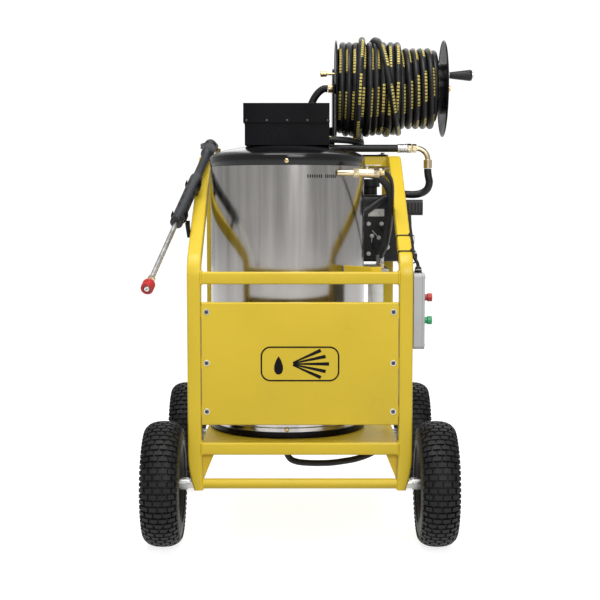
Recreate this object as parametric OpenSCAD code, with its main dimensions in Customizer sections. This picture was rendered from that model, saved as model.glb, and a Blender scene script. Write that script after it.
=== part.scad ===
// Trolley hot-water pressure washer with a vertical boiler and a hose reel.
// Millimetres. Z is up, X runs to the right, Y runs to the back.
// The design is drawn from the middle of the front axle on the ground,
// and place() moves it so that the origin is at the middle of its footprint.

/* [Frame] */
// Side of the square tube of the two side hoops
tube = 36; // [34:1:42]
// Side of the square tube of the crossbars
bar = 32; // [28:1:34]
// Width over the two side hoops
frame_w = 590; // [580:5:610]
// Height of the top rails, at their upper face
rail_top = 1042; // [1030:1:1060]
// Height where the front posts start to lean back
slope_low = 744; // [735:1:790]
// Distance back to where the slope meets the top rail
slope_back = 430; // [420:5:440]
// Thickness of the floor plate and of the front panel
sheet = 3; // [2:0.5:4]
// Height of the floor plate, at its upper face
floor_top = 276; // [270:1:280]
// Height of the engine shelf, at its upper face
shelf_top = 713; // [705:1:720]

/* [Wheels] */
// Distance between the axles
wheelbase = 725; // [720:1:735]
// Outer radius of the tyres
tyre_r = 165; // [160:1:166]
// Width of the tyres
tyre_w = 106; // [100:1:110]
// Distance from the middle of the machine to the middle of a tyre
track_half = 360; // [356:1:366]
// Radius of the axles
axle_r = 12.5; // [11:0.5:13]

/* [Boiler] */
// Radius of the stainless shell
boiler_r = 214; // [212:1:218]
// Place of the boiler's axis across the machine
boiler_x = -35; // [-38:1:-32]
// Place of the boiler's axis behind the front axle
boiler_y = 255; // [250:1:258]
// Height of the shell's upper edge
shell_top = 1005; // [1000:1:1008]
// Width of the draft hood
hood_w = 230; // [220:2:240]
// Height of the draft hood's upper edge
hood_top = 1175; // [1160:1:1190]

/* [Hose reel] */
// Height of the reel's axis
reel_z = 1247; // [1244:1:1256]
// Place of the reel's axis behind the front axle
reel_y = 560; // [550:1:570]
// Place of the left flange's outer face
reel_left = 107; // [104:1:110]
// Place of the right flange's outer face
reel_right = 432; // [428:1:436]
// Radius of the flanges
flange_r = 142; // [138:1:146]
// Radius of the wound hose
winding_r = 155; // [150:1:156]

/* [Hoses] */
// Outer diameter of the high-pressure hoses
hose_d = 20; // [18:1:21]
// Outer diameter of the thin hose at the outlet valve
thin_d = 11; // [9:1:12]
// Outer diameter of the sleeved hose
sleeved_d = 21; // [18:1:22]

/* [Spray gun] */
// Length from the nozzle's face to the top of the gun
gun_len = 758; // [750:1:760]
// Radius of the insulated sleeve
sleeve_r = 17.5; // [16:0.5:17.5]
// Radius of the steel lance
lance_r = 6.75; // [6:0.25:7]

/* [Control box] */
// Height of the box
box_h = 199; // [190:1:205]
// Depth of the box, front to back
box_d = 130; // [120:1:140]
// Depth of the box, out from the frame
box_w = 22; // [20:1:24]

/* [Hidden] */

$fn = 64;
play = 0.3;          // gap between pieces that move past each other
run = 0.05;          // radial clearance of a shaft in its bearing
half_w = frame_w / 2;
inner = half_w - tube;
rail_z = rail_top - tube / 2;
ring_z = 288;        // upper face of the boiler's base ring
gun_tip = [-375, -220, 695];
gun_top = [-262, 430, 1069];
crank_len = 60;
crank_y = reel_y - 108;
crank_z = reel_z + 30;
crank_end = reel_right + 2 + crank_len + 14;
centre_x = (crank_end - track_half - tyre_w / 2) / 2;
centre_y = (wheelbase + tyre_r + gun_tip[1] - 8) / 2;
screw_x = inner - 15;
screw_z = [360, 488, 622];
panel_low = 324;
panel_top = 647;
hub_half = 38;
seat_low = 523;      // underside of the control box

// Hose routes, chosen by hand
reel_feed_route = [
    [83.5, 560, 1247], [72, 560, 1247], [59, 561, 1239], [46, 562, 1224],
    [36, 563, 1205], [28, 562, 1184], [23, 559, 1162], [21, 552, 1140], [22, 542, 1118],
    [27, 529, 1099], [37, 514, 1084], [54, 499, 1073], [78, 486, 1067], [110, 477, 1065],
    [160, 468, 1065], [220, 466, 1065], [270, 466, 1065], [316, 466, 1065]];
outlet_route = [
    [378, 466, 1005], [378, 466, 996], [380, 466, 982], [383, 467, 964], [377, 470, 945],
    [360, 473, 933], [336, 475, 929], [308, 476, 930], [280, 475, 928],
    [252, 472, 918], [226, 467, 902], [202, 463, 885], [180, 457, 871],
    [160, 450, 862], [146, 441.5, 860], [136, 432, 860]];
gun_hose_route = [
    [184, 548, 1081], [181, 521, 1082], [170, 497, 1084], [150, 480, 1088],
    [122, 471, 1090], [90, 469, 1091], [55, 471, 1091], [22, 475, 1090],
    [-10, 484, 1088], [-40, 498, 1081], [-66, 515, 1066], [-83, 528, 1042],
    [-90, 537, 1010], [-101, 541, 975], [-130, 545, 944], [-170, 548, 932],
    [-210, 550, 943], [-238, 551, 971], [-248, 552, 1005], [-248, 552, 1028],
    [-248, 552, 1044]];
thin_route = [
    [213.2, 90, 985], [224, 90.5, 985], [236, 100, 979], [244, 114, 968], [249, 134, 950],
    [251, 158, 926], [252, 186, 898], [252, 216, 868], [252, 248, 838], [251, 280, 812],
    [249, 310, 790], [246, 338, 775], [241, 362, 764], [237, 379, 753], [236, 386, 741],
    [236, 386, 729]];
sleeved_route = [
    [171, 351, 985], [187, 358, 987], [208, 366, 985], [229, 374, 976], [247, 382, 961],
    [259, 389, 939], [265, 394, 914], [266, 399, 887], [264, 404, 860], [260, 410, 833],
    [254, 417, 807], [248, 424, 783], [241, 431, 761], [236, 438, 742], [236, 438, 729]];
drain_route = [
    [-35, 100, 236], [-34, 100, 222], [-24, 101, 209], [-6, 102, 202], [20, 103, 199],
    [50, 104, 198], [85, 105, 199], [118, 106, 203], [148, 108, 208], [176, 110, 216],
    [200, 112, 227], [217, 114, 241], [225, 115, 256], [226, 115, 270]];

// ---- Functions ----

function unit(v) = v / norm(v);
function last(list) = list[len(list) - 1];

// Points of the arc of radius r that rounds the corner b between a and c
function corner(a, b, c, r, steps) =
    let (u = unit(a - b), v = unit(c - b), angle = acos(u * v), sweep = 180 - angle,
         middle = b + unit(u + v) * r / sin(angle / 2),
         from = b + u * r / tan(angle / 2) - middle,
         to = b + v * r / tan(angle / 2) - middle)
    [for (i = [0 : steps])
        middle + (sin((1 - i / steps) * sweep) * from + sin(i / steps * sweep) * to)
            / sin(sweep)];

// A path with its inner corners rounded
function rounded(path, r, steps = 8) = [
    path[0],
    for (i = [1 : len(path) - 2]) each corner(path[i - 1], path[i], path[i + 1], r, steps),
    last(path)];

function heading(path, i) =
    unit(path[min(i + 1, len(path) - 1)] - path[max(i - 1, 0)]);

// The path moved sideways by a distance
function beside(path, d) = [
    for (i = [0 : len(path) - 1])
        let (h = heading(path, i), n = [-h[1], h[0]],
             own = i == 0 || i == len(path) - 1 ? h : unit(path[i + 1] - path[i]))
        path[i] + n * d / (own * h)];

function backwards(list) = [for (i = [len(list) - 1 : -1 : 0]) list[i]];

// The outline of a strip of a width that follows a path
function strip(path, width) =
    concat(beside(path, width / 2), backwards(beside(path, -width / 2)));

// A point on a smooth curve through four neighbours
function smooth(a, b, c, d, t) = 0.5 * (
    2 * b + (c - a) * t + (2 * a - 5 * b + 4 * c - d) * t * t
    + (3 * b - a - 3 * c + d) * t * t * t);

// A route with one more point between each pair of its points
function refined(route) = [
    for (i = [0 : len(route) - 2])
        let (a = route[max(i - 1, 0)], b = route[i], c = route[i + 1],
             d = route[min(i + 2, len(route) - 1)])
        each [b, smooth(a, b, c, d, 0.5)],
    last(route)];

// The rings of a tube swept along points, each turned with the least twist
function side_of(h, before) = unit(before - h * (h * before));
function sides_along(points, i = 0, before = [0.1, 0.2, 1]) =
    i == len(points) ? []
    : let (s = side_of(heading(points, i), before))
      concat([s], sides_along(points, i + 1, s));

// ---- Shared shapes ----

module place() {
    translate([-centre_x, -centre_y, 0]) children();
}

// A box between two corners
module block(low, high) {
    translate(low) cube(high - low);
}

// A cylinder along X, from x1 to x2
module bar_x(x1, x2, r, y = 0, z = 0) {
    translate([x1, y, z]) rotate([0, 90, 0]) cylinder(h = x2 - x1, r = r);
}

// A cylinder along Y, from y1 to y2
module bar_y(y1, y2, r, x = 0, z = 0) {
    translate([x, y1, z]) rotate([-90, 0, 0]) cylinder(h = y2 - y1, r = r);
}

// A flat outline in Y and Z, thickened along X
module slab_x(x1, x2) {
    translate([x1, 0, 0]) rotate([90, 0, 90]) linear_extrude(x2 - x1) children();
}

// A box with its four edges along one direction rounded
module rounded_slab(size, r) {
    linear_extrude(size[2]) union() {
        translate([r, 0]) square([size[0] - 2 * r, size[1]]);
        translate([0, r]) square([size[0], size[1] - 2 * r]);
        for (x = [r, size[0] - r], y = [r, size[1] - r]) translate([x, y]) circle(r);
    }
}

// A tube swept along a route as one closed mesh
module hose(route, d, sides = 8) {
    points = refined(route);
    side = sides_along(points);
    rings = [
        for (i = [0 : len(points) - 1])
            let (h = heading(points, i), up = cross(h, side[i]))
            each [for (k = [0 : sides - 1])
                points[i] + d / 2 * (cos(k * 360 / sides) * side[i]
                    + sin(k * 360 / sides) * up)]];
    wall = [
        for (i = [0 : len(points) - 2], k = [0 : sides - 1])
            let (a = i * sides + k, b = i * sides + (k + 1) % sides)
            [b, a, a + sides, b + sides]];
    first_end = [for (k = [0 : sides - 1]) k];
    last_end = [for (k = [sides - 1 : -1 : 0]) (len(points) - 1) * sides + k];
    polyhedron(points = rings, faces = concat([first_end, last_end], wall));
}

// Puts a shape drawn along +Z, from the nozzle up, on the gun's own line
module on_gun() {
    way = unit(gun_top - gun_tip);
    translate(gun_tip)
        rotate([0, acos(way[2]), atan2(way[1], way[0])])
            children();
}

// ---- Frame ----

module hoop_band() {
    path = rounded([
        [0, 245], [0, slope_low], [slope_back, rail_z], [wheelbase, rail_z],
        [wheelbase, 245]], 62);
    polygon(strip(path, tube));
}

// The lower end of a post, which curves in to the axle
module post_foot(y) {
    curve = 16;
    outer = [for (i = [0 : 6]) [half_w - curve * (1 - cos(i * 10)) * 2, 246 - i * 16]];
    outline = concat([[inner, 246]], outer, [[inner - 4, 150], [inner - 2, 200]]);
    translate([0, y + tube / 2, 0]) rotate([90, 0, 0]) linear_extrude(tube) polygon(outline);
}

module side_hoop() {
    difference() {
        union() {
            slab_x(inner, half_w) hoop_band();
            post_foot(0);
            post_foot(wheelbase);
        }
        for (y = [0, wheelbase]) bar_x(inner - 20, half_w + 20, axle_r + play, y, tyre_r);
    }
}

module left_side_hoop() {
    color("gold") place() mirror([1, 0, 0]) side_hoop();
}

module right_side_hoop() {
    color("gold") place() side_hoop();
}

module cross_tube(y, z) {
    block([-inner, y - bar / 2, z - bar / 2], [inner, y + bar / 2, z + bar / 2]);
}

// The triangular gusset between the lower crossbar and a front post's foot
module gusset(side) {
    reach = 32;
    outline = [
        [side * (inner - 0.3), 246], [side * (inner - reach), 246],
        [side * (inner - reach), 243], [side * (inner - 3.6), 174]];
    translate([0, 8, 0]) rotate([90, 0, 0]) linear_extrude(4) polygon(outline);
}

module crossbars() {
    color("gold") place() {
        cross_tube(0, 710);
        cross_tube(0, 260);
        cross_tube(wheelbase, 260);
        cross_tube(wheelbase - 22, 500);
        cross_tube(490, rail_top - bar / 2);
        cross_tube(640, rail_top - bar / 2);
        gusset(1);
        gusset(-1);
        panel_tabs();
        boiler_stay();
    }
}

// Tabs on the posts that the front panel is screwed to
module panel_tabs() {
    for (side = [-1, 1], z = screw_z)
        difference() {
            translate([side * (inner - 14), -13.5, z]) cube([28, 3, 30], center = true);
            bar_y(-20, 0, 3.2, side * screw_x, z);
        }
}

// The curved stay that steadies the boiler from the right post
module boiler_stay() {
    back = bar / 2 + 2.5;
    path = rounded([[214, back], [190, back], [150, 62], [119.5, 101.5]], 14);
    translate([0, 0, 704]) linear_extrude(34) polygon(strip(path, 4));
}

module floor_plate() {
    edge = 24;
    front = bar / 2 + 1;
    back = wheelbase - bar / 2 - 1;
    color("goldenrod") place() {
        block([-inner, front, floor_top - sheet], [inner, back, floor_top]);
        for (side = [-1, 1])
            block([side * (inner - sheet / 2) - sheet / 2, front, floor_top - edge],
                [side * (inner - sheet / 2) + sheet / 2, back, floor_top - sheet]);
    }
}

module axles() {
    nut_out = track_half + hub_half + 15;
    color("dimgray") place()
        for (y = [0, wheelbase]) {
            bar_x(-nut_out, nut_out, axle_r, y, tyre_r);
            for (side = [-1, 1]) {
                translate([side * (nut_out - 6.5), y, tyre_r]) rotate([0, 90, 0])
                    cylinder(h = 12, r = 19, center = true, $fn = 6);
                translate([side * (half_w + 12), y, tyre_r]) rotate([0, 90, 0])
                    cylinder(h = 22, r = 16, center = true);
            }
        }
}

module front_panel() {
    side = inner - 2;
    fold = 18;
    face_y = -tube / 2;
    color("gold") place()
        difference() {
            union() {
                block([-side, face_y, panel_low], [side, face_y + 2, panel_top]);
                block([-side, face_y, panel_top - 2], [side, face_y + fold, panel_top]);
                block([-side, face_y, panel_low], [side, face_y + fold, panel_low + 2]);
            }
            for (x = [-screw_x, screw_x], z = screw_z) bar_y(-30, 0, 3.2, x, z);
        }
}

// A button-head screw that points along +Y from its head's seat
module panel_screw(x, z) {
    bar_y(-tube / 2, -6, 3, x, z);
    translate([x, -tube / 2, z]) rotate([90, 0, 0]) cylinder(h = 3, r = 6);
}

module cover_screws() {
    color("silver") place() {
        for (x = [-screw_x, screw_x], z = screw_z) panel_screw(x, z);
        for (z = [302, 1016])
            translate([boiler_x, boiler_y - boiler_r - 2.2, z]) rotate([90, 0, 0])
                cylinder(h = 4, r = 6.5);
    }
}

// ---- Boiler ----

module on_boiler() {
    translate([boiler_x, boiler_y, 0]) children();
}

// A ring around the boiler's axis
module ring(outer, hole, low, high) {
    rotate_extrude($fn = 128) translate([hole, low]) square([outer - hole, high - low]);
}

module boiler_shell() {
    port_x = 55;
    color("silver") place()
        difference() {
            on_boiler() {
                ring(boiler_r, boiler_r - 2, ring_z, shell_top);
                ring(boiler_r - 2, 1, ring_z, ring_z + 2);
            }
            translate([boiler_x + port_x, boiler_y + 120, 400]) rotate([-90, 0, 0])
                cylinder(h = 140, r = 46);
        }
}

module boiler_base_ring() {
    color("black") place() on_boiler() {
        ring(boiler_r - 3, 150, floor_top, ring_z - 0.1);
        ring(boiler_r + 4, boiler_r + 0.3, ring_z - 6, ring_z + 6);
    }
}

// The heating coil: a pipe wound in one layer inside the shell
module boiler_coil() {
    turns = 9;
    per_turn = 18;
    coil_r = 165;
    pitch = 46;
    pipe_r = 13;
    sides = 6;
    count = turns * per_turn;
    function centre(i) = [
        coil_r * cos(i * 360 / per_turn), coil_r * sin(i * 360 / per_turn),
        480 + pitch * i / per_turn];
    points = [
        for (i = [0 : count], k = [0 : sides - 1])
            let (a = i * 360 / per_turn, w = k * 360 / sides, out = pipe_r * cos(w))
            centre(i) + [out * cos(a), out * sin(a), pipe_r * sin(w)]];
    wall = [
        for (i = [0 : count - 1], k = [0 : sides - 1])
            let (a = i * sides + k, b = i * sides + (k + 1) % sides)
            [a, b, b + sides, a + sides]];
    first_end = [for (k = [sides - 1 : -1 : 0]) k];
    last_end = [for (k = [0 : sides - 1]) count * sides + k];
    color("peru") place() on_boiler()
        polyhedron(points = points, faces = concat([first_end, last_end], wall));
}

module boiler_lid() {
    rim = boiler_r + 2;
    profile = [
        [80, shell_top + 52], [80, shell_top + 56], [117, shell_top + 55],
        [165, shell_top + 48], [191, shell_top + 41], [211, shell_top + 33],
        [rim, shell_top + 26], [rim, shell_top + 0.3], [rim - 12, shell_top + 0.3],
        [rim - 12, shell_top + 22], [190, shell_top + 36], [160, shell_top + 44],
        [115, shell_top + 50]];
    color("black") place() on_boiler() rotate_extrude($fn = 128) polygon(profile);
}

module draft_hood() {
    low = shell_top + 56.3;
    wall = 2;
    depth = 200;
    flare = 4;
    band_low = hood_top - 54;
    color("black") place()
        translate([boiler_x - hood_w / 2, boiler_y - depth / 2, 0])
            difference() {
                union() {
                    block([0, 0, low], [hood_w, depth, hood_top]);
                    block([-flare, -flare, band_low], [hood_w, depth + flare, hood_top]);
                }
                block([wall, wall, low + wall], [hood_w - wall, depth - wall, hood_top + 1]);
                translate([hood_w / 2, depth / 2, low - 1]) cylinder(h = 10, r = 76);
            }
}

module burner() {
    x = boiler_x + 55;
    z = 400;
    color("dimgray") place() {
        bar_y(452, 540, 45.8, x, z);
        bar_y(540, 546, 62, x, z);
        bar_y(546, 622, 92, x, z);
        bar_y(622, 700, 52, x, z);
        block([x - 30, 560, floor_top + 0.2], [x + 30, 610, z - 60]);
        block([x + 60, 556, z + 30], [x + 130, 612, z + 110]);
    }
}

module diesel_tank() {
    color("black") place()
        difference() {
            union() {
                translate([-254, 494, floor_top + 0.2]) rounded_slab([176, 180, 244], 24);
                translate([-200, 585, 500]) cylinder(h = 40, r = 30);
            }
            translate([-200, 585, 400]) cylinder(h = 150, r = 25);
            translate([-248, 500, floor_top + 6]) rounded_slab([164, 168, 232], 20);
        }
}

module diesel_cap() {
    color("red") place() translate([-200, 585, 0])
        difference() {
            translate([0, 0, 524]) cylinder(h = 24, r = 38);
            translate([0, 0, 520]) cylinder(h = 20.4, r = 30.4);
        }
}

// ---- Engine and pump ----

module engine_shelf() {
    legs = [[-256, 488], [214, 488], [-256, 676], [214, 676]];
    color("silver") place() {
        block([-256, 484, shelf_top - 18], [258, 700, shelf_top]);
        block([214, 376, shelf_top - 18], [258, 484, shelf_top]);
        for (leg = legs)
            block([leg[0], leg[1], floor_top + 0.2], [leg[0] + 36, leg[1] + 4, shelf_top - 18]);
    }
}

crank_axis = [600, 812];     // Y and Z of the engine's shaft

module engine_crankcase() {
    color("dimgray") place()
        difference() {
            union() {
                block([30, 520, shelf_top + 20], [190, 680, 860]);
                block([20, 510, shelf_top + 0.2], [190, 690, shelf_top + 20]);
                bar_x(12, 30, 74, crank_axis[0], crank_axis[1]);
                bar_y(500, 520, 16, 60, 760);
            }
            bar_x(0, 200, 14 + run, crank_axis[0], crank_axis[1]);
            bar_x(60, 150, 62, crank_axis[0], crank_axis[1]);
        }
}

module engine_cylinder() {
    fins = 6;
    color("gray") place() {
        block([56, 546, 860.2], [164, 654, 930]);
        for (i = [0 : fins - 1])
            block([42, 532, 866 + i * 10], [178, 668, 870 + i * 10]);
        block([70, 560, 930], [150, 640, 950]);
    }
}

handle_y = 570;
handle_z = 742;

module fan_shroud() {
    x1 = 192;
    x2 = 302;
    color("black") place()
        difference() {
            union() {
                translate([x1, 500, 728]) rotate([90, 0, 90]) rounded_slab([192, 200, x2 - x1], 18);
                bar_x(x2, x2 + 34, 84, crank_axis[0], crank_axis[1]);
            }
            bar_x(x1 - 1, x2 - 6, 88, crank_axis[0], crank_axis[1]);
            bar_x(x2 - 8, x2 + 30, 70, crank_axis[0], crank_axis[1]);
            for (a = [0 : 45 : 315])
                translate([x2 + 34, crank_axis[0], crank_axis[1]]) rotate([a, 0, 0])
                    block([-10, 30, -4], [10, 64, 4]);
            bar_x(x2 + 2, x2 + 40, 6, handle_y, handle_z);
        }
}

module engine_muffler() {
    color("black") place() {
        translate([282, 418, 868]) rotate([90, 0, 90]) rounded_slab([74, 46, 78], 10);
        bar_y(492, 499.8, 14, 298, 890);
    }
}

module air_cleaner() {
    color("black") place() {
        translate([212, 560, 928.3]) cylinder(h = 24, r = 22);
        translate([212, 560, 952]) cylinder(h = 24, r = 30);
    }
}

module recoil_handle() {
    color("black") place() {
        bar_x(324, 344, 5, handle_y, handle_z);
        block([344, handle_y - 25, handle_z - 8], [356, handle_y + 25, handle_z + 8]);
    }
}

module throttle_lever() {
    color("silver") place() {
        bar_y(492, 499.6, 7, 262, 772);
        block([258, 492, 772], [266, 495, 812]);
    }
}

module crankshaft() {
    color("silver") place() {
        bar_x(-18, 192, 14, crank_axis[0], crank_axis[1]);
        bar_x(192, 200, 40, crank_axis[0], crank_axis[1]);
        bar_x(200, 240, 78, crank_axis[0], crank_axis[1]);
        bar_x(70, 90, 45, crank_axis[0], crank_axis[1]);
        bar_x(110, 130, 45, crank_axis[0], crank_axis[1]);
    }
}

module pump_crankcase() {
    color("dimgray") place()
        difference() {
            union() {
                block([-150, 545, shelf_top + 18], [-6, 655, 872]);
                block([-160, 535, shelf_top + 0.2], [-20, 665, shelf_top + 18]);
                bar_x(-6, 11.6, 72, crank_axis[0], crank_axis[1]);
            }
            bar_x(-22, 20, 14 + run, crank_axis[0], crank_axis[1]);
            translate([-78, 600, 860]) cylinder(h = 20, r = 8);
        }
}

inlet_x = -168;
inlet_r = 9.5;

module pump_manifold() {
    ports = [-124, -78, -32];
    color("goldenrod") place()
        difference() {
            union() {
                block([-160, 655.2, 750], [-8, 722, 842]);
                for (x = ports) {
                    translate([x, 688, 842]) cylinder(h = 16, r = 17, $fn = 6);
                    translate([x, 722, 770]) rotate([-90, 0, 0]) cylinder(h = 16, r = 17, $fn = 6);
                }
                bar_x(-196, -160, 22, 688, 800);
                translate([-190, 688, 812]) cylinder(h = 50, r = 15);
            }
            bar_x(-220, -150, inlet_r, 688, 800);
        }
}

module unloader_knob() {
    color("black") place() translate([-190, 688, 0]) {
        difference() {
            translate([0, 0, 862.4]) cylinder(h = 34, r = 17);
            for (a = [0 : 45 : 315])
                rotate(a) translate([19, 0, 860]) cylinder(h = 40, r = 4);
        }
    }
}

// ---- Controls ----

box_x = half_w + 2;
button_y = 55;
lid_x = box_x + box_w;
red_z = 655;
green_z = 594;

module control_box() {
    wall = 3;
    color("gainsboro") place() {
        difference() {
            translate([box_x, button_y - box_d / 2, seat_low]) rotate([90, 0, 90])
                rounded_slab([box_d, box_h, box_w], 10);
            translate([box_x + wall, button_y - box_d / 2 + wall, seat_low + wall])
                rotate([90, 0, 90])
                    rounded_slab([box_d - 2 * wall, box_h - 2 * wall, box_w], 8);
        }
        translate([box_x + 14, button_y - 30, seat_low + box_h]) cylinder(h = 10, r = 9);
    }
}

module control_lid() {
    color("gainsboro") place()
        difference() {
            translate([lid_x, button_y - box_d / 2, seat_low]) rotate([90, 0, 90])
                rounded_slab([box_d, box_h, 7], 10);
            for (z = [red_z, green_z]) bar_x(lid_x - 1, lid_x + 8, 9, button_y, z);
        }
}

module button_bezels() {
    color("dimgray") place()
        for (z = [red_z, green_z])
            difference() {
                bar_x(lid_x + 7, lid_x + 11, 17, button_y, z);
                bar_x(lid_x, lid_x + 20, 9, button_y, z);
            }
}

module push_button(z) {
    bar_x(lid_x - 6, lid_x + 20, 8.6, button_y, z);
    bar_x(lid_x + 19.5, lid_x + 32, 11, button_y, z);
}

module red_button() {
    color("red") place() push_button(red_z);
}

module green_button() {
    color("green") place() push_button(green_z);
}

// ---- Hose reel ----

module on_reel() {
    translate([0, reel_y, reel_z]) children();
}

module reel_stand() {
    plate_x = reel_left - 10;
    color("black") place() {
        block([60, 480, rail_top + 0.1], [262, 650, rail_top + 5]);
        difference() {
            union() {
                block([plate_x, 500, rail_top + 5], [plate_x + 6, 620, reel_z]);
                bar_x(plate_x, plate_x + 6, 60, reel_y, reel_z);
            }
            translate([0, 0, -4]) bar_x(plate_x - 1, plate_x + 7, 9, reel_y - 36, reel_z + 44);
        }
        bar_x(plate_x, reel_right + 8, 15, reel_y, reel_z);
        block([plate_x - 30, 556, rail_top + 5], [plate_x, 564, rail_top + 90]);
    }
}

module flange(x) {
    bar_x(x, x + 2, flange_r);
    translate([x + 1, 0, 0]) rotate([0, 90, 0]) rotate_extrude($fn = 96)
        translate([flange_r, 0]) circle(2.5, $fn = 24);
}

module reel_drum() {
    hub_r = 76;
    color("black") place() on_reel()
        difference() {
            union() {
                flange(reel_left);
                flange(reel_right - 2);
                bar_x(reel_left, reel_right, hub_r);
            }
            bar_x(reel_left + 4, reel_right - 4, hub_r - 2);
            bar_x(reel_left - 5, reel_right + 5, 15 + run);
        }
}

module hose_winding() {
    color("black") place() on_reel() rotate([0, 90, 0])
        rotate_extrude($fn = 96)
            translate([76.5, reel_left + 3.5])
                square([winding_r - 76.5, reel_right - reel_left - 25]);
}

module crank_spindle() {
    color("silver") place() {
        bar_x(reel_right + 0.2, reel_right + 5, 12, crank_y, crank_z);
        bar_x(reel_right + 5, crank_end - 4, 5, crank_y, crank_z);
        bar_x(crank_end - 4, crank_end, 9, crank_y, crank_z);
    }
}

module crank_grip() {
    low = reel_right + 6;
    high = crank_end - 5;
    color("black") place() translate([0, crank_y, crank_z]) rotate([0, 90, 0])
        rotate_extrude()
            polygon([
                [5 + run, low], [9, low], [10.5, low + 8], [16.5, high - 6], [15, high],
                [5 + run, high]]);
}

module reel_swivel() {
    left = reel_left - 22;
    color("goldenrod") place()
        difference() {
            bar_x(left, reel_left - 10.2, 13, reel_y, reel_z);
            bar_x(left - 1, left + 6, 5, reel_y, reel_z);
        }
}

// ---- Wheels ----

module at_wheel(side, y) {
    translate([side * track_half, y, tyre_r]) rotate([0, 90, 0]) children();
}

module tyre() {
    w = tyre_w / 2;
    shoulder = 34;
    bead = 31.2;
    profile = concat(
        [[76.3, -bead], [84.4, -bead - 0.4], [85.5, -bead - 5], [96, -bead - 13]],
        [for (i = [0 : 6]) [tyre_r - shoulder + shoulder * sin(i * 15) - 4 * (6 - i) / 6,
            -w + 26 * (1 - cos(i * 15))]],
        [for (i = [6 : -1 : 0]) [tyre_r - shoulder + shoulder * sin(i * 15) - 4 * (6 - i) / 6,
            w - 26 * (1 - cos(i * 15))]],
        [[96, bead + 13], [85.5, bead + 5], [84.4, bead + 0.4], [76.3, bead]]);
    rotate_extrude($fn = 96) polygon(profile);
}

module rim() {
    hub_r = 21;
    rotate_extrude($fn = 48)
        polygon([
            [axle_r + run, -hub_half], [hub_r, -hub_half], [hub_r, -4], [60, -4],
            [72, -14], [72, -30], [74, -32], [84, -34.6], [84, -32], [76, -31.5],
            [76, 31.5], [84, 32], [84, 34.6], [74, 32], [72, 30], [72, -2], [60, 4],
            [hub_r, 4], [hub_r, hub_half], [axle_r + run, hub_half]]);
}

module front_left_tyre() {
    color("black") place() at_wheel(-1, 0) tyre();
}

module front_right_tyre() {
    color("black") place() at_wheel(1, 0) tyre();
}

module rear_left_tyre() {
    color("black") place() at_wheel(-1, wheelbase) tyre();
}

module rear_right_tyre() {
    color("black") place() at_wheel(1, wheelbase) tyre();
}

module front_left_rim() {
    color("dimgray") place() at_wheel(-1, 0) rim();
}

module front_right_rim() {
    color("dimgray") place() at_wheel(1, 0) rim();
}

module rear_left_rim() {
    color("dimgray") place() at_wheel(-1, wheelbase) rim();
}

module rear_right_rim() {
    color("dimgray") place() at_wheel(1, wheelbase) rim();
}

// ---- Spray gun ----

sleeve_low = 318;
sleeve_high = 566;
grip_end = 566;      // Y of the end of the gun's grip
grip_z = gun_top[2] + 5;
inlet = [-248, 552, 1044.2];     // lower end of the gun's inlet fitting

module gun_body() {
    color("dimgray") place()
        difference() {
            union() {
                on_gun() translate([0, 0, sleeve_high + 0.2])
                    cylinder(h = gun_len - sleeve_high - 12, r = 12);
                on_gun() translate([0, 0, gun_len - 52]) cylinder(h = 46, r = 18.5);
                translate([gun_top[0], gun_top[1], gun_top[2] + 3]) sphere(r = 18.5);
                bar_y(gun_top[1], grip_end, 15, gun_top[0], grip_z);
                translate(inlet) cylinder(h = grip_z - inlet[2], r = 9);
            }
            block([gun_top[0] - 30, 468, grip_z - 6], [gun_top[0] - 9, 502, grip_z + 6]);
        }
}

// The trigger turns on an upright pin in a slot on the outer side of the grip
trigger_pin = [gun_top[0] - 15.5, 480];

module gun_trigger() {
    color("dimgray") place() {
        translate([trigger_pin[0], trigger_pin[1], grip_z - 5.5]) cylinder(h = 11, r = 5);
        translate([0, 0, grip_z - 8]) linear_extrude(16)
            polygon([[-278.4, 474], [-278.4, 494], [-296, 556], [-301, 556], [-284.4, 474]]);
    }
}

module lance_tube() {
    color("silver") place() on_gun() {
        translate([0, 0, 22]) cylinder(h = sleeve_low - 22.2, r = lance_r);
        translate([0, 0, 31]) cylinder(h = 22, r = 11);
    }
}

module lance_sleeve() {
    color("dimgray") place() on_gun()
        translate([0, 0, sleeve_low]) cylinder(h = sleeve_high - sleeve_low, r = sleeve_r);
}

module spray_nozzle() {
    color("red") place() on_gun()
        difference() {
            cylinder(h = 30.5, r = 16);
            translate([0, 0, 20]) cylinder(h = 12, r = lance_r + run);
            translate([0, 0, -1]) cylinder(h = 30, r = 2);
            translate([0, 0, -1]) cylinder(h = 5, r = 9);
        }
}

// Two open cradles on the left slope that hold the gun by its sleeve
module gun_cradles() {
    opening = sleeve_r + 0.7;
    thick = 4;
    color("black") place() {
        for (at = [350, 520])
            on_gun() translate([0, 0, at])
                difference() {
                    cylinder(h = 16, r = opening + thick);
                    translate([0, 0, -1]) cylinder(h = 18, r = opening);
                    translate([-40, -opening, -1]) cube([40, 2 * opening, 18]);
                }
        difference() {
            on_gun() translate([opening + 2, -44, 350]) cube([44, 30, 16]);
            translate([-half_w - 0.2, 0, 700]) cube([80, 200, 200]);
        }
        on_gun() translate([opening + thick - 1.6, -9, 520]) cube([10.9, 18, 16]);
    }
}

// ---- Outlet valve and fittings ----

valve_y = 90;
valve_z = 985;

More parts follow.
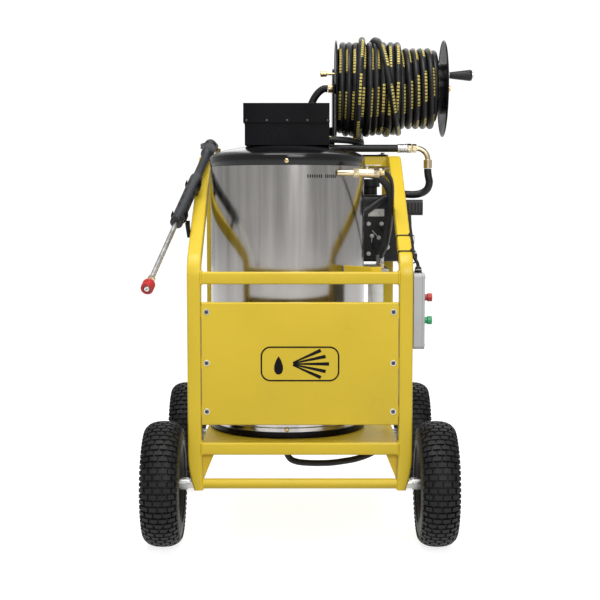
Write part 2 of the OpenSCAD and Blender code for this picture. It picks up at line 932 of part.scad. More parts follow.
module outlet_valve() {
    color("goldenrod") place()
        difference() {
            union() {
                bar_x(100, 142, 8, valve_y, valve_z);
                translate([142, valve_y, valve_z]) rotate([0, 90, 0])
                    cylinder(h = 16, r = 12, $fn = 6);
                bar_x(158, 196, 11, valve_y, valve_z);
                translate([196, valve_y, valve_z]) rotate([0, 90, 0])
                    cylinder(h = 15.8, r = 12, $fn = 6);
                translate([178, valve_y, valve_z]) cylinder(h = 18, r = 6);
            }
            translate([178, valve_y, valve_z + 10]) cylinder(h = 9, r = 3);
            on_boiler() cylinder(h = shell_top, r = boiler_r + 0.2);
        }
}

module valve_lever() {
    color("silver") place() {
        translate([178, valve_y, valve_z + 18.3]) cylinder(h = 3, r = 7);
        block([174, valve_y - 4, valve_z + 18.3], [182, valve_y + 4, valve_z + 19.3]);
        block([178, valve_y - 6, valve_z + 19.3], [216, valve_y + 6, valve_z + 21.3]);
    }
}

// A hex nut along X
module nut_x(x, length, r, y, z) {
    translate([x, y, z]) rotate([0, 90, 0]) cylinder(h = length, r = r, $fn = 6);
}

module hose_fittings() {
    y = 466;
    z = 1065;
    bend = 34;
    elbow_x = 344;
    color("goldenrod") place() {
        nut_x(316.2, 13, 14, y, z);
        nut_x(331, 13, 13, y, z);
        translate([elbow_x, y, z - bend]) rotate([90, 0, 0])
            rotate_extrude(angle = 90) translate([bend, 0]) circle(8);
        translate([elbow_x + bend, y, 1006.2]) cylinder(h = 25, r = 12.5);
        on_boiler() rotate(46) bar_x(boiler_r + 0.2, boiler_r + 25, 9, 0, 860);
        on_boiler() rotate(25) bar_x(boiler_r + 0.2, boiler_r + 10, 11, 0, 985);
        translate([236, 386, shelf_top + 0.2]) cylinder(h = 14.6, r = 8);
        translate([236, 438, shelf_top + 0.2]) cylinder(h = 14.6, r = 12);
        translate([-35, 100, 236.2]) cylinder(h = 36.6, r = 10);
    }
}

// ---- Hoses ----

module reel_feed_hose() {
    color("black") place() hose(reel_feed_route, hose_d + 2);
}

module outlet_hose() {
    color("black") place() hose(outlet_route, hose_d + 2);
}

module gun_hose() {
    color("black") place() hose(gun_hose_route, hose_d);
}

module valve_hoses() {
    color("black") place() {
        hose(thin_route, thin_d);
        hose(sleeved_route, sleeved_d);
    }
}

module drain_hose() {
    color("black") place() hose(drain_route, 17);
}

left_side_hoop();
right_side_hoop();
crossbars();
floor_plate();
axles();
front_panel();
cover_screws();
boiler_shell();
boiler_base_ring();
boiler_coil();
boiler_lid();
draft_hood();
burner();
diesel_tank();
diesel_cap();
engine_shelf();
engine_crankcase();
engine_cylinder();
fan_shroud();
engine_muffler();
air_cleaner();
recoil_handle();
throttle_lever();
crankshaft();
pump_crankcase();
pump_manifold();
unloader_knob();
control_box();
control_lid();
button_bezels();
red_button();
green_button();
reel_stand();
reel_drum();
hose_winding();
crank_spindle();
crank_grip();
reel_swivel();
front_left_tyre();
front_right_tyre();
rear_left_tyre();
rear_right_tyre();
front_left_rim();
front_right_rim();
rear_left_rim();
rear_right_rim();
gun_body();
gun_trigger();
lance_tube();
lance_sleeve();
spray_nozzle();
gun_cradles();
outlet_valve();
valve_lever();
hose_fittings();
reel_feed_hose();
outlet_hose();
gun_hose();
valve_hoses();
drain_hose();
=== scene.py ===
"""Looks of the trolley pressure washer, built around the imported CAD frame."""

import math
import random

import bmesh
import bpy
import numpy as np
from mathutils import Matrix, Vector


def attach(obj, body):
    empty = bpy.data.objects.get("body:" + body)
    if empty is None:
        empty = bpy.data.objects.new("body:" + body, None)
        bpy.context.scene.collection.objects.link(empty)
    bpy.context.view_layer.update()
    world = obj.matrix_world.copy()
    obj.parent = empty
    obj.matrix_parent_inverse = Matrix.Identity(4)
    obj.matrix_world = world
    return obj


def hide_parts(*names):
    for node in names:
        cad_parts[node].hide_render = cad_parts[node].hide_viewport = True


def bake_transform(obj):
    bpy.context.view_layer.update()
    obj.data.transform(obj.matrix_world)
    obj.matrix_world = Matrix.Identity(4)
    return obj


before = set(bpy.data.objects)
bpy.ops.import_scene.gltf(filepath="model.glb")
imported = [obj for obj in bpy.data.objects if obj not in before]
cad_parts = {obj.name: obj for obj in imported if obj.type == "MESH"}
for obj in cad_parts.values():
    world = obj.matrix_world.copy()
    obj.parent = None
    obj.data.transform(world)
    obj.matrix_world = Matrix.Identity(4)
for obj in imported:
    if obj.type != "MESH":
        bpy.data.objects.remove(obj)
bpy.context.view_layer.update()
dice = random.Random(7)

# Sizes in the CAD's own drawing frame: millimetres from the middle of the front
# axle on the ground. at() turns them into the row frame's metres.
CENTRE_X = 47.5
CENTRE_Y = 331.0
TUBE = 36.0
BAR = 32.0
HALF_W = 295.0
INNER = HALF_W - TUBE
WHEELBASE = 725.0
RAIL_TOP = 1042.0
RAIL_Z = RAIL_TOP - TUBE / 2
SLOPE_LOW = 744.0
SLOPE_BACK = 430.0
BEND_R = 62.0
TYRE_R = 165.0
TRACK = 360.0
BOILER = (-35.0, 255.0)
BOILER_R = 214.0
SHELL_TOP = 1005.0
PANEL_SIDE = 257.0
PANEL_LOW = 324.0
PANEL_TOP = 647.0
PANEL_FACE = -TUBE / 2
SCREW_X = 244.0
SCREW_Z = (360, 488, 622)
TYRE_HALF = 53.0
REEL_Y = 560.0
REEL_Z = 1247.0
REEL_RIGHT = 432.0
GUN_TIP = Vector((-375.0, -220.0, 695.0))
GUN_TOP = Vector((-262.0, 430.0, 1069.0))
BUTTON_Y = 55.0
LID_X = 319.0
HOSE_D = 20.0

REEL_FEED = [
    (83.5, 560, 1247), (72, 560, 1247), (59, 561, 1239), (46, 562, 1224), (36, 563, 1205),
    (28, 562, 1184), (23, 559, 1162), (21, 552, 1140), (22, 542, 1118), (27, 529, 1099),
    (37, 514, 1084), (54, 499, 1073), (78, 486, 1067), (110, 477, 1065), (160, 468, 1065),
    (220, 466, 1065), (270, 466, 1065), (316, 466, 1065)]
OUTLET = [
    (378, 466, 1005), (378, 466, 996), (380, 466, 982), (383, 467, 964), (377, 470, 945),
    (360, 473, 933), (336, 475, 929), (308, 476, 930), (280, 475, 928), (252, 472, 918),
    (226, 467, 902), (202, 463, 885), (180, 457, 871), (160, 450, 862), (146, 441.5, 860),
    (136, 432, 860)]
GUN_HOSE = [
    (184, 548, 1081), (181, 521, 1082), (170, 497, 1084), (150, 480, 1088), (122, 471, 1090),
    (90, 469, 1091), (55, 471, 1091), (22, 475, 1090), (-10, 484, 1088), (-40, 498, 1081),
    (-66, 515, 1066), (-83, 528, 1042), (-90, 537, 1010), (-101, 541, 975), (-130, 545, 944),
    (-170, 548, 932), (-210, 550, 943), (-238, 551, 971), (-248, 552, 1005),
    (-248, 552, 1028), (-248, 552, 1044)]
THIN = [
    (213.2, 90, 985), (224, 90.5, 985), (236, 100, 979), (244, 114, 968), (249, 134, 950),
    (251, 158, 926), (252, 186, 898), (252, 216, 868), (252, 248, 838), (251, 280, 812),
    (249, 310, 790), (246, 338, 775), (241, 362, 764), (237, 379, 753), (236, 386, 741),
    (236, 386, 729)]
SLEEVED = [
    (171, 351, 985), (187, 358, 987), (208, 366, 985), (229, 374, 976), (247, 382, 961),
    (259, 389, 939), (265, 394, 914), (266, 399, 887), (264, 404, 860), (260, 410, 833),
    (254, 417, 807), (248, 424, 783), (241, 431, 761), (236, 438, 742), (236, 438, 729)]
DRAIN = [
    (-35, 100, 236), (-34, 100, 222), (-24, 101, 209), (-6, 102, 202), (20, 103, 199),
    (50, 104, 198), (85, 105, 199), (118, 106, 203), (148, 108, 208), (176, 110, 216),
    (200, 112, 227), (217, 114, 241), (225, 115, 256), (226, 115, 270)]

# The wound hose: (turns, place across, radius of its middle)
WINDING = [
    (0, 120, 91), (12.5, 400, 91), (13.2, 399, 111), (26, 121, 111), (26.7, 121, 129),
    (35.5, 301, 129), (35.75, 262, 149), (36, 222, 142), (36.25, 195, 148), (36.5, 165, 149),
    (36.75, 172, 150), (37, 188, 142), (37.25, 187, 158), (37.5, 184, 160)]


def at(x, y, z):
    """A point of the drawing frame, in the row frame's metres."""
    return Vector(((x - CENTRE_X) / 1000, (y - CENTRE_Y) / 1000, z / 1000))


# ---- Camera ----


def add_camera():
    data = bpy.data.cameras.new("camera")
    data.sensor_width = 36
    data.lens = 76.8
    camera = bpy.data.objects.new("camera", data)
    camera.location = at(0, -3340, 915)
    camera.rotation_euler = (math.radians(90 - 4.5), 0, 0)
    bpy.context.scene.collection.objects.link(camera)
    bpy.context.scene.camera = camera


# ---- Materials ----


def look(
    name, colour, rough=0.4, metal=0.0, vary=0.1, patch=8.0, grain=300.0, bump=0.15,
    spread=0.08, stretch=(1, 1, 1), coat=0.0, depth=0.0004, coat_rough=0.08,
    specular=0.5,
):
    """A principled material with a blotchy colour, uneven gloss and a fine surface grain."""
    material = bpy.data.materials.new(name)
    material.use_nodes = True
    nodes, links = material.node_tree.nodes, material.node_tree.links
    shader = nodes["Principled BSDF"]
    shader.inputs["Metallic"].default_value = metal
    shader.inputs["Specular IOR Level"].default_value = specular
    shader.inputs["Coat Weight"].default_value = coat
    shader.inputs["Coat Roughness"].default_value = coat_rough
    coords = nodes.new("ShaderNodeTexCoord")
    mapping = nodes.new("ShaderNodeMapping")
    mapping.inputs["Scale"].default_value = stretch
    links.new(coords.outputs["Object"], mapping.inputs["Vector"])
    blotch = noise(nodes, links, mapping.outputs["Vector"], patch, 6)
    fine = noise(nodes, links, mapping.outputs["Vector"], grain, 3)
    ramp = nodes.new("ShaderNodeValToRGB")
    ramp.color_ramp.elements[0].position = 0.3
    ramp.color_ramp.elements[1].position = 0.7
    ramp.color_ramp.elements[0].color = (*[c * (1 - vary) for c in colour], 1)
    ramp.color_ramp.elements[1].color = (*[min(1, c * (1 + vary)) for c in colour], 1)
    links.new(blotch, ramp.inputs["Fac"])
    links.new(ramp.outputs["Color"], shader.inputs["Base Color"])
    gloss = nodes.new("ShaderNodeMapRange")
    gloss.inputs["From Min"].default_value = 0.3
    gloss.inputs["From Max"].default_value = 0.7
    gloss.inputs["To Min"].default_value = max(0.02, rough - spread)
    gloss.inputs["To Max"].default_value = min(1, rough + spread)
    links.new(blotch, gloss.inputs["Value"])
    links.new(gloss.outputs["Result"], shader.inputs["Roughness"])
    relief = nodes.new("ShaderNodeBump")
    relief.inputs["Strength"].default_value = bump
    relief.inputs["Distance"].default_value = depth
    links.new(fine, relief.inputs["Height"])
    links.new(relief.outputs["Normal"], shader.inputs["Normal"])
    return material


def noise(nodes, links, vector, scale, detail):
    texture = nodes.new("ShaderNodeTexNoise")
    texture.inputs["Scale"].default_value = scale
    texture.inputs["Detail"].default_value = detail
    links.new(vector, texture.inputs["Vector"])
    return texture.outputs["Fac"]


def maths(nodes, links, operation, first, second):
    node = nodes.new("ShaderNodeMath")
    node.operation = operation
    for socket, value in zip(node.inputs, (first, second)):
        if isinstance(value, (int, float)):
            socket.default_value = value
        else:
            links.new(value, socket)
    return node.outputs["Value"]


def printed_hose():
    """Black rubber with a broken yellow line along it, from the tube's own coordinates."""
    material = look(
        "printed_hose", (0.008, 0.008, 0.009), 0.42, vary=0.35, patch=60, grain=900,
        specular=0.3)
    nodes, links = material.node_tree.nodes, material.node_tree.links
    shader = nodes["Principled BSDF"]
    base = shader.inputs["Base Color"].links[0].from_socket
    uv = nodes.new("ShaderNodeUVMap")
    uv.uv_map = "run"
    parts = nodes.new("ShaderNodeSeparateXYZ")
    links.new(uv.outputs["UV"], parts.inputs["Vector"])
    along, around = parts.outputs["X"], parts.outputs["Y"]
    beside = maths(nodes, links, "ABSOLUTE", maths(nodes, links, "SUBTRACT", around, 0.5), 0)
    band = maths(nodes, links, "LESS_THAN", beside, 0.065)
    dash = maths(nodes, links, "FRACT", maths(nodes, links, "MULTIPLY", along, 110), 0)
    short = maths(nodes, links, "GREATER_THAN", dash, 0.38)
    block = maths(nodes, links, "FRACT", maths(nodes, links, "MULTIPLY", along, 7.3), 0)
    word = maths(nodes, links, "LESS_THAN", block, 0.62)
    mask = maths(nodes, links, "MULTIPLY", maths(nodes, links, "MULTIPLY", band, short), word)
    mix = nodes.new("ShaderNodeMix")
    mix.data_type = "RGBA"
    colours = [s for s in mix.inputs if s.type == "RGBA"]
    links.new(mask, mix.inputs["Factor"])
    links.new(base, colours[0])
    colours[1].default_value = (0.62, 0.50, 0.12, 1)
    result = next(s for s in mix.outputs if s.type == "RGBA")
    links.new(result, shader.inputs["Base Color"])
    return material


def brushed_steel():
    """Stainless sheet with long upright brushing and a slightly wavy surface."""
    material = look(
        "stainless", (0.42, 0.405, 0.39), 0.17, 1.0, vary=0.18, patch=5, grain=160,
        bump=0.18, spread=0.05, stretch=(6, 6, 0.25), depth=0.0003,
    )
    nodes, links = material.node_tree.nodes, material.node_tree.links
    fine = next(n for n in nodes if n.bl_idname == "ShaderNodeBump")
    coords = next(n for n in nodes if n.bl_idname == "ShaderNodeTexCoord")
    waves = nodes.new("ShaderNodeBump")
    waves.inputs["Strength"].default_value = 0.5
    waves.inputs["Distance"].default_value = 0.006
    links.new(noise(nodes, links, coords.outputs["Object"], 4.5, 1), waves.inputs["Height"])
    links.new(waves.outputs["Normal"], fine.inputs["Normal"])
    return material


LOOKS = {
    "yellow_paint": look(
        "yellow_paint", (0.68, 0.49, 0.03), 0.34, vary=0.05, patch=5, grain=420, bump=0.12,
        specular=0.3),
    "black_paint": look(
        "black_paint", (0.004, 0.004, 0.005), 0.24, vary=0.3, patch=9, grain=350, spread=0.04,
        specular=0.1),
    "gloss_black": look(
        "gloss_black", (0.005, 0.005, 0.006), 0.2, vary=0.3, grain=120, bump=0.1, spread=0.05,
        coat=0.15, specular=0.3),
    "stainless": brushed_steel(),
    "zinc_steel": look(
        "zinc_steel", (0.55, 0.55, 0.53), 0.34, 1.0, vary=0.15, patch=40, grain=500),
    "dark_steel": look(
        "dark_steel", (0.07, 0.07, 0.072), 0.42, 0.8, vary=0.3, patch=20, grain=400),
    "brass": look("brass", (0.62, 0.46, 0.24), 0.28, 1.0, vary=0.15, patch=50, grain=500),
    "pale_brass": look("pale_brass", (0.66, 0.55, 0.36), 0.25, 1.0, vary=0.12, patch=60, grain=600),
    "copper_pipe": look("copper_pipe", (0.60, 0.27, 0.15), 0.35, 1.0, vary=0.3, patch=25),
    "cast_aluminium": look(
        "cast_aluminium", (0.36, 0.36, 0.37), 0.5, 0.9, vary=0.18, patch=30, grain=700, bump=0.5),
    "engine_black": look(
        "engine_black", (0.009, 0.009, 0.010), 0.4, vary=0.4, patch=25, grain=700, bump=0.3,
        specular=0.3),
    "tyre": look(
        "tyre", (0.010, 0.010, 0.011), 0.5, vary=0.45, patch=30, grain=800, bump=0.5, spread=0.1,
        specular=0.22),
    "hose_rubber": look(
        "hose_rubber", (0.008, 0.008, 0.009), 0.4, vary=0.35, patch=60, grain=900, bump=0.3,
        specular=0.3),
    "printed_hose": printed_hose(),
    "sleeve_fabric": look(
        "sleeve_fabric", (0.03, 0.03, 0.032), 0.8, vary=0.5, patch=300, grain=900, bump=0.8),
    "black_plastic": look(
        "black_plastic", (0.009, 0.009, 0.010), 0.42, vary=0.3, patch=20, grain=900, bump=0.35,
        specular=0.3),
    "charcoal_plastic": look(
        "charcoal_plastic", (0.022, 0.024, 0.028), 0.45, vary=0.2, patch=20, grain=900, bump=0.4,
        specular=0.35),
    "grey_plastic": look(
        "grey_plastic", (0.42, 0.43, 0.43), 0.42, vary=0.05, patch=20, grain=900, bump=0.25),
    "red_plastic": look(
        "red_plastic", (0.46, 0.012, 0.012), 0.3, vary=0.12, patch=40, grain=700, bump=0.15),
    "green_plastic": look(
        "green_plastic", (0.01, 0.36, 0.13), 0.3, vary=0.12, patch=40, grain=700, bump=0.15),
}


# ---- Shapes: each is (points in millimetres, faces) ----


def unit(v):
    return Vector(v).normalized()


def sides_of(axis):
    """Two directions across an axis."""
    axis = unit(axis)
    near = Vector((0, 0, 1)) if abs(axis.z) < 0.9 else Vector((1, 0, 0))
    side = axis.cross(near).normalized()
    return side, axis.cross(side).normalized()


def skin(rings, closed=False, caps=True):
    """Joins rings of equally many points into one surface."""
    count, width = len(rings), len(rings[0])
    points = [tuple(p) for ring in rings for p in ring]
    faces = []
    for i in range(count if closed else count - 1):
        low, high = i * width, (i + 1) % count * width
        for k in range(width):
            n = (k + 1) % width
            faces.append((low + k, low + n, high + n, high + k))
    if caps and not closed:
        faces.append(tuple(reversed(range(width))))
        faces.append(tuple(range((count - 1) * width, count * width)))
    return points, faces


def box(low, high):
    corners = [
        [(x, y, z) for x, y in ((low[0], low[1]), (high[0], low[1]), (high[0], high[1]), (low[0], high[1]))]
        for z in (low[2], high[2])]
    return skin(corners)


def lathe(profile, origin, axis=(0, 0, 1), segments=64, closed=False):
    """A profile of (distance along the axis, radius) pairs turned about the axis."""
    side, up = sides_of(axis)
    origin, axis = Vector(origin), unit(axis)
    rings = []
    for along, r in profile:
        middle = origin + axis * along
        rings.append([
            middle + r * (math.cos(a) * side + math.sin(a) * up)
            for a in (k * math.tau / segments for k in range(segments))])
    return skin(rings, closed=closed, caps=not closed)


def rod(a, b, r, chamfer=0.8, segments=32):
    """A bar between two points with chamfered ends."""
    a, b = Vector(a), Vector(b)
    length = (b - a).length
    c = min(chamfer, r * 0.4, length * 0.3)
    return lathe([(0, r - c), (c, r), (length - c, r), (length, r - c)], a, b - a, segments)


def nut(a, b, r):
    return rod(a, b, r, 1.0, 6)


def bolt(place, way, r=6.0, head=4.0, washer=True):
    """A hexagon head on a washer, seen from where it points."""
    place, way = Vector(place), unit(way)
    thick = 1.2 if washer else 0.0
    parts = [nut(place + way * thick, place + way * (thick + head), r)]
    if washer:
        parts.append(rod(place, place + way * thick, r * 1.45, 0.4, 28))
    return parts


def dome_screw(place, way, r=6.0, head=3.0):
    """A button head with a recess."""
    profile = [(0, r), (head * 0.45, r * 0.97), (head * 0.8, r * 0.8), (head, r * 0.5),
               (head, r * 0.34), (head * 0.45, r * 0.32)]
    return [lathe(profile, place, way, 28)]


def prism(outline, plane, low, high):
    """An outline thickened along x, y or z."""
    def put(u, v, w):
        return {"x": (w, u, v), "y": (u, w, v), "z": (u, v, w)}[plane]
    return skin([[put(u, v, w) for u, v in outline] for w in (low, high)])


def round_rect(w, h, r, steps=5, centre=(0.0, 0.0)):
    """The outline of a rectangle with round corners."""
    points = []
    for i, (sx, sy) in enumerate(((1, 1), (-1, 1), (-1, -1), (1, -1))):
        for k in range(steps + 1):
            a = math.radians(90 * i + 90 * k / steps)
            points.append((
                centre[0] + sx * (w / 2 - r) + r * math.cos(a),
                centre[1] + sy * (h / 2 - r) + r * math.sin(a)))
    return points


def arc_corner(a, b, c, r, steps):
    """Points of the arc that rounds the corner b."""
    a, b, c = Vector(a), Vector(b), Vector(c)
    u, v = (a - b).normalized(), (c - b).normalized()
    angle = u.angle(v)
    middle = b + (u + v).normalized() * r / math.sin(angle / 2)
    first = b + u * r / math.tan(angle / 2) - middle
    other = b + v * r / math.tan(angle / 2) - middle
    sweep = math.pi - angle
    return [
        middle + (math.sin((1 - i / steps) * sweep) * first + math.sin(i / steps * sweep) * other)
        / math.sin(sweep) for i in range(steps + 1)]


def rounded(path, r, steps=10):
    """A path with its inner corners rounded."""
    points = [Vector(path[0])]
    for i in range(1, len(path) - 1):
        points += arc_corner(path[i - 1], path[i], path[i + 1], r, steps)
    return points + [Vector(path[-1])]


def smooth_route(points, per=5):
    """A smooth line through a route's points."""
    pts = [Vector(p) for p in points]
    result = []
    for i in range(len(pts) - 1):
        a, b = pts[max(i - 1, 0)], pts[i]
        c, d = pts[i + 1], pts[min(i + 2, len(pts) - 1)]
        for k in range(per):
            t = k / per
            result.append(0.5 * (
                2 * b + (c - a) * t + (2 * a - 5 * b + 4 * c - d) * t * t
                + (3 * b - a - 3 * c + d) * t * t * t))
    return result + [pts[-1]]


def carried(points):
    """The direction and two turned sides at each point of a line, with the least twist."""
    pts = [Vector(p) for p in points]
    side = None
    result = []
    for i, p in enumerate(pts):
        way = (pts[min(i + 1, len(pts) - 1)] - pts[max(i - 1, 0)]).normalized()
        side = sides_of(way)[0] if side is None else (side - way * side.dot(way)).normalized()
        result.append((p, side, way.cross(side)))
    return result


def pipe(points, r, sides=16, caps=True, closed=False):
    """A round tube along a line. r may be a list."""
    rings = []
    for i, (p, side, up) in enumerate(carried(points)):
        size = r[i] if isinstance(r, (list, tuple)) else r
        rings.append([
            p + size * (math.cos(a) * side + math.sin(a) * up)
            for a in (k * math.tau / sides for k in range(sides))])
    return skin(rings, caps=caps, closed=closed)


# ---- Pieces ----


def finish_mesh(mesh, angle=35):
    work = bmesh.new()
    work.from_mesh(mesh)
    bmesh.ops.recalc_face_normals(work, faces=work.faces)
    work.to_mesh(mesh)
    work.free()
    mesh.shade_smooth()
    mesh.set_sharp_from_angle(angle=math.radians(angle))


def settle(obj, material, body, replaces):
    """Links a piece, gives it its material and puts it on its body."""
    bpy.context.scene.collection.objects.link(obj)
    obj.data.materials.append(LOOKS[material])
    if body:
        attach(obj, body)
    if replaces:
        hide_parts(*([replaces] if isinstance(replaces, str) else replaces))
    return obj


def round_edges(obj, width, steps=2, angle=32):
    bevel = obj.modifiers.new("edges", "BEVEL")
    bevel.width = width / 1000
    bevel.segments = steps
    bevel.limit_method = "ANGLE"
    bevel.angle_limit = math.radians(angle)
    bevel.harden_normals = True


def build(name, parts, material, body="chassis", bevel=0.0, replaces=(), angle=35, steps=2):
    """One piece from several shapes."""
    points, faces = [], []
    for part_points, part_faces in parts:
        base = len(points)
        points += [at(*p) for p in part_points]
        faces += [[base + i for i in face] for face in part_faces]
    mesh = bpy.data.meshes.new(name)
    mesh.from_pydata(points, [], faces)
    finish_mesh(mesh, angle)
    obj = bpy.data.objects.new(name, mesh)
    if bevel:
        round_edges(obj, bevel, steps)
    return settle(obj, material, body, replaces)


def refine(node, material, body="chassis", bevel=0.8, steps=2, angle=35):
    """A cleaned copy of a CAD node with its edges rounded."""
    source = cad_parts[node]
    mesh = source.data.copy()
    mesh.transform(source.matrix_world)
    mesh.materials.clear()
    work = bmesh.new()
    work.from_mesh(mesh)
    bmesh.ops.remove_doubles(work, verts=work.verts, dist=2e-5)
    bmesh.ops.dissolve_limit(
        work, angle_limit=math.radians(0.6), verts=work.verts, edges=work.edges)
    for layer in list(work.loops.layers.uv.values()):
        work.loops.layers.uv.remove(layer)
    clean = bpy.data.meshes.new(node + "_skin")
    work.to_mesh(clean)
    work.free()
    finish_mesh(clean, angle)
    obj = bpy.data.objects.new(node + "_skin", clean)
    if bevel:
        round_edges(obj, bevel, steps)
    return settle(obj, material, body, node)


def hose_piece(
    name, line, radius, material, body, replaces=(), sides=18, phase=0.0, wobble=0.0,
):
    """A mesh tube with its length and turn as coordinates, and the line it follows."""
    frames = carried(line)
    points, along = [], [0.0]
    for i, (p, side, up) in enumerate(frames):
        if i:
            along.append(along[-1] + (p - frames[i - 1][0]).length / 1000)
        turned = phase + wobble * math.sin(along[-1] * 1.3)
        for k in range(sides):
            a = k * math.tau / sides + turned
            points.append(at(*(p + radius * (math.cos(a) * side + math.sin(a) * up))))
    faces, runs = [], []
    for i in range(len(frames) - 1):
        for k in range(sides):
            n = (k + 1) % sides
            low, high = i * sides, (i + 1) * sides
            faces.append((low + k, low + n, high + n, high + k))
            u, v = (along[i], along[i + 1]), (k / sides, (k + 1) / sides)
            runs += [(u[0], v[0]), (u[0], v[1]), (u[1], v[1]), (u[1], v[0])]
    ends = (tuple(reversed(range(sides))), tuple(range(len(points) - sides, len(points))))
    for end in ends:
        faces.append(end)
        runs += [(0.0, 0.0)] * sides
    mesh = bpy.data.meshes.new(name)
    mesh.from_pydata(points, [], faces)
    layer = mesh.uv_layers.new(name="run")
    layer.data.foreach_set("uv", np.array(runs, dtype=np.float32).ravel())
    mesh.shade_smooth()
    mesh.set_sharp_from_angle(angle=math.radians(50))
    obj = bpy.data.objects.new(name, mesh)
    settle(obj, material, body, replaces)
    return obj, [at(*p) for p in line], along[-1]


# ---- Cords ----


def winding_line():
    """Three layers and a few strands that cross them, ending under the reel."""
    per_turn = 60
    keys = np.array(WINDING, dtype=float)
    turns = np.arange(int(keys[-1, 0] * per_turn) + 1) / per_turn
    reach = per_turn // 10
    even = np.ones(2 * reach + 1) / (2 * reach + 1)

    def eased(values):
        padded = np.pad(values, reach, mode="edge")
        return np.convolve(padded, even, mode="valid")
    across = eased(np.interp(turns, keys[:, 0], keys[:, 1]))
    radius = eased(np.interp(turns, keys[:, 0], keys[:, 2]))
    outer = (turns > 26.9) & (turns < 35.2)
    angle = turns * math.tau
    hang = 0.5 - 0.5 * np.cos(angle)
    loose = 2.5 + 3.5 * np.sin(turns * 2.3)
    radius = radius + np.where(outer, loose * hang, 0)
    across = across + np.where(outer, 1.2 * np.sin(turns * 1.7), 0)
    return [
        Vector((x, REEL_Y + r * math.sin(a), REEL_Z + r * math.cos(a)))
        for x, r, a in zip(across, radius, angle)]


def add_winding():
    obj, path, length = hose_piece(
        "wound_hose", winding_line(), HOSE_D / 2, "printed_hose", "reel", "hose_winding", 14,
        math.pi / 2, 0.7)


def add_hose(name, route, diameter, material, replaces, per=5, phase=0.0, blend=None):
    body = None if blend else "chassis"
    obj, path, length = hose_piece(
        name, smooth_route(route, per), diameter / 2, material, body, replaces, 20, phase)
    if blend:
        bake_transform(obj)


def add_hoses():
    add_winding()
    add_hose("feed_hose", REEL_FEED, 22, "hose_rubber", "reel_feed_hose")
    add_hose("boiler_outlet_hose", OUTLET, 22, "hose_rubber", "outlet_hose")
    add_hose(
        "gun_supply_hose", GUN_HOSE, 20, "printed_hose", "gun_hose", phase=1.2,
        blend=((-60, 515, 1000), (-250, 552, 1030)))
    add_hose("thin_valve_hose", THIN, 11, "hose_rubber", "valve_hoses")
    add_hose("sleeved_valve_hose", SLEEVED, 21, "sleeve_fabric", "valve_hoses")
    add_hose("floor_drain_hose", DRAIN, 17, "hose_rubber", "drain_hose")


def crimp(a, b, r):
    """A sleeve with three pressed grooves."""
    a, b = Vector(a), Vector(b)
    length = (b - a).length
    profile = [(0, r * 0.8), (0.8, r)]
    grooves = 3
    for i in range(grooves):
        middle = length * (i + 1) / (grooves + 1)
        profile += [(middle - 1.6, r), (middle - 0.6, r * 0.9)]
        profile += [(middle + 0.6, r * 0.9), (middle + 1.6, r)]
    profile += [(length - 0.8, r), (length, r * 0.8)]
    return lathe(profile, a, b - a, 28)


def add_ferrules():
    """Crimped sleeves where the hoses meet their fittings."""
    build("crimp_sleeves", [
        crimp((288, 466, 1065), (316, 466, 1065), 13.2),
        crimp((236, 438, 752), (236, 438, 730), 12.6),
        crimp((236, 386, 744), (236, 386, 729), 7.6)], "zinc_steel")
    build("brass_ferrules", [
        crimp((213, 90, 985), (225, 90.6, 985), 7.6),
        crimp((-35, 100, 236), (-34.6, 100, 226), 10.4)], "brass")


# ---- Frame ----


def hoop_rings(side):
    """Rounded square rings along one side hoop, from the front foot to the back foot."""
    path = rounded([
        (0, 245), (0, SLOPE_LOW), (SLOPE_BACK, RAIL_Z), (WHEELBASE, RAIL_Z), (WHEELBASE, 245)],
        BEND_R, 14)

    def foot(y):
        rows = []
        for i in range(13):
            a = math.radians(i * 5)
            z = 245 - i * 95 / 12
            rows.append((y, z, INNER - 4 * i / 12, HALF_W - 32 * (1 - math.cos(a))))
        return rows
    rows = list(reversed(foot(0)))
    rows += [(p.x, p.y, INNER, HALF_W) for p in path[1:-1]]
    rows += foot(WHEELBASE)
    rings = []
    for i, (y, z, low, high) in enumerate(rows):
        after, before = rows[min(i + 1, len(rows) - 1)], rows[max(i - 1, 0)]
        way = Vector((after[0] - before[0], after[1] - before[1])).normalized()
        middle, width = (low + high) / 2, high - low
        ring = []
        for u, v in round_rect(width, TUBE, 5.5, 4):
            ring.append((side * (middle + u), y - way.y * v, z + way.x * v))
        rings.append(ring)
    return rings


def tube_bar(y, z, size=BAR):
    """A square tube across the machine."""
    outline = [(y + u, z + v) for u, v in round_rect(size, size, 4.5, 4)]
    return prism(outline, "x", -INNER - 0.5, INNER + 0.5)


def weld(y, z, side, size=BAR):
    """The bead where a crossbar meets a hoop."""
    outline = round_rect(size + 1.5, size + 1.5, 5.5, 6)
    line = []
    for i in range(len(outline)):
        a, b = Vector(outline[i]), Vector(outline[(i + 1) % len(outline)])
        pieces = max(1, round((b - a).length / 3.2))
        line += [a + (b - a) * k / pieces for k in range(pieces)]
    points = [(side * (INNER - 0.5), y + p.x, z + p.y) for p in line]
    sizes = [2.3 + 0.7 * (i % 2) + 0.3 * dice.random() for i in range(len(points))]
    return pipe(points, sizes, 8, closed=True)


def add_frame():
    for name, side in (("left", -1), ("right", 1)):
        build(f"{name}_hoop_tube", [skin(hoop_rings(side))], "yellow_paint",
              replaces=f"{name}_side_hoop", angle=50)
    top = RAIL_TOP - BAR / 2
    bars = [(0, 710), (0, 260), (WHEELBASE, 260), (WHEELBASE - 22, 500), (490, top), (640, top)]
    build("crossbar_tubes", [tube_bar(y, z) for y, z in bars], "yellow_paint",
          replaces="crossbars", angle=50)
    build("weld_beads", [weld(y, z, side) for y, z in bars for side in (-1, 1)], "yellow_paint")
    add_plates()
    add_floor()


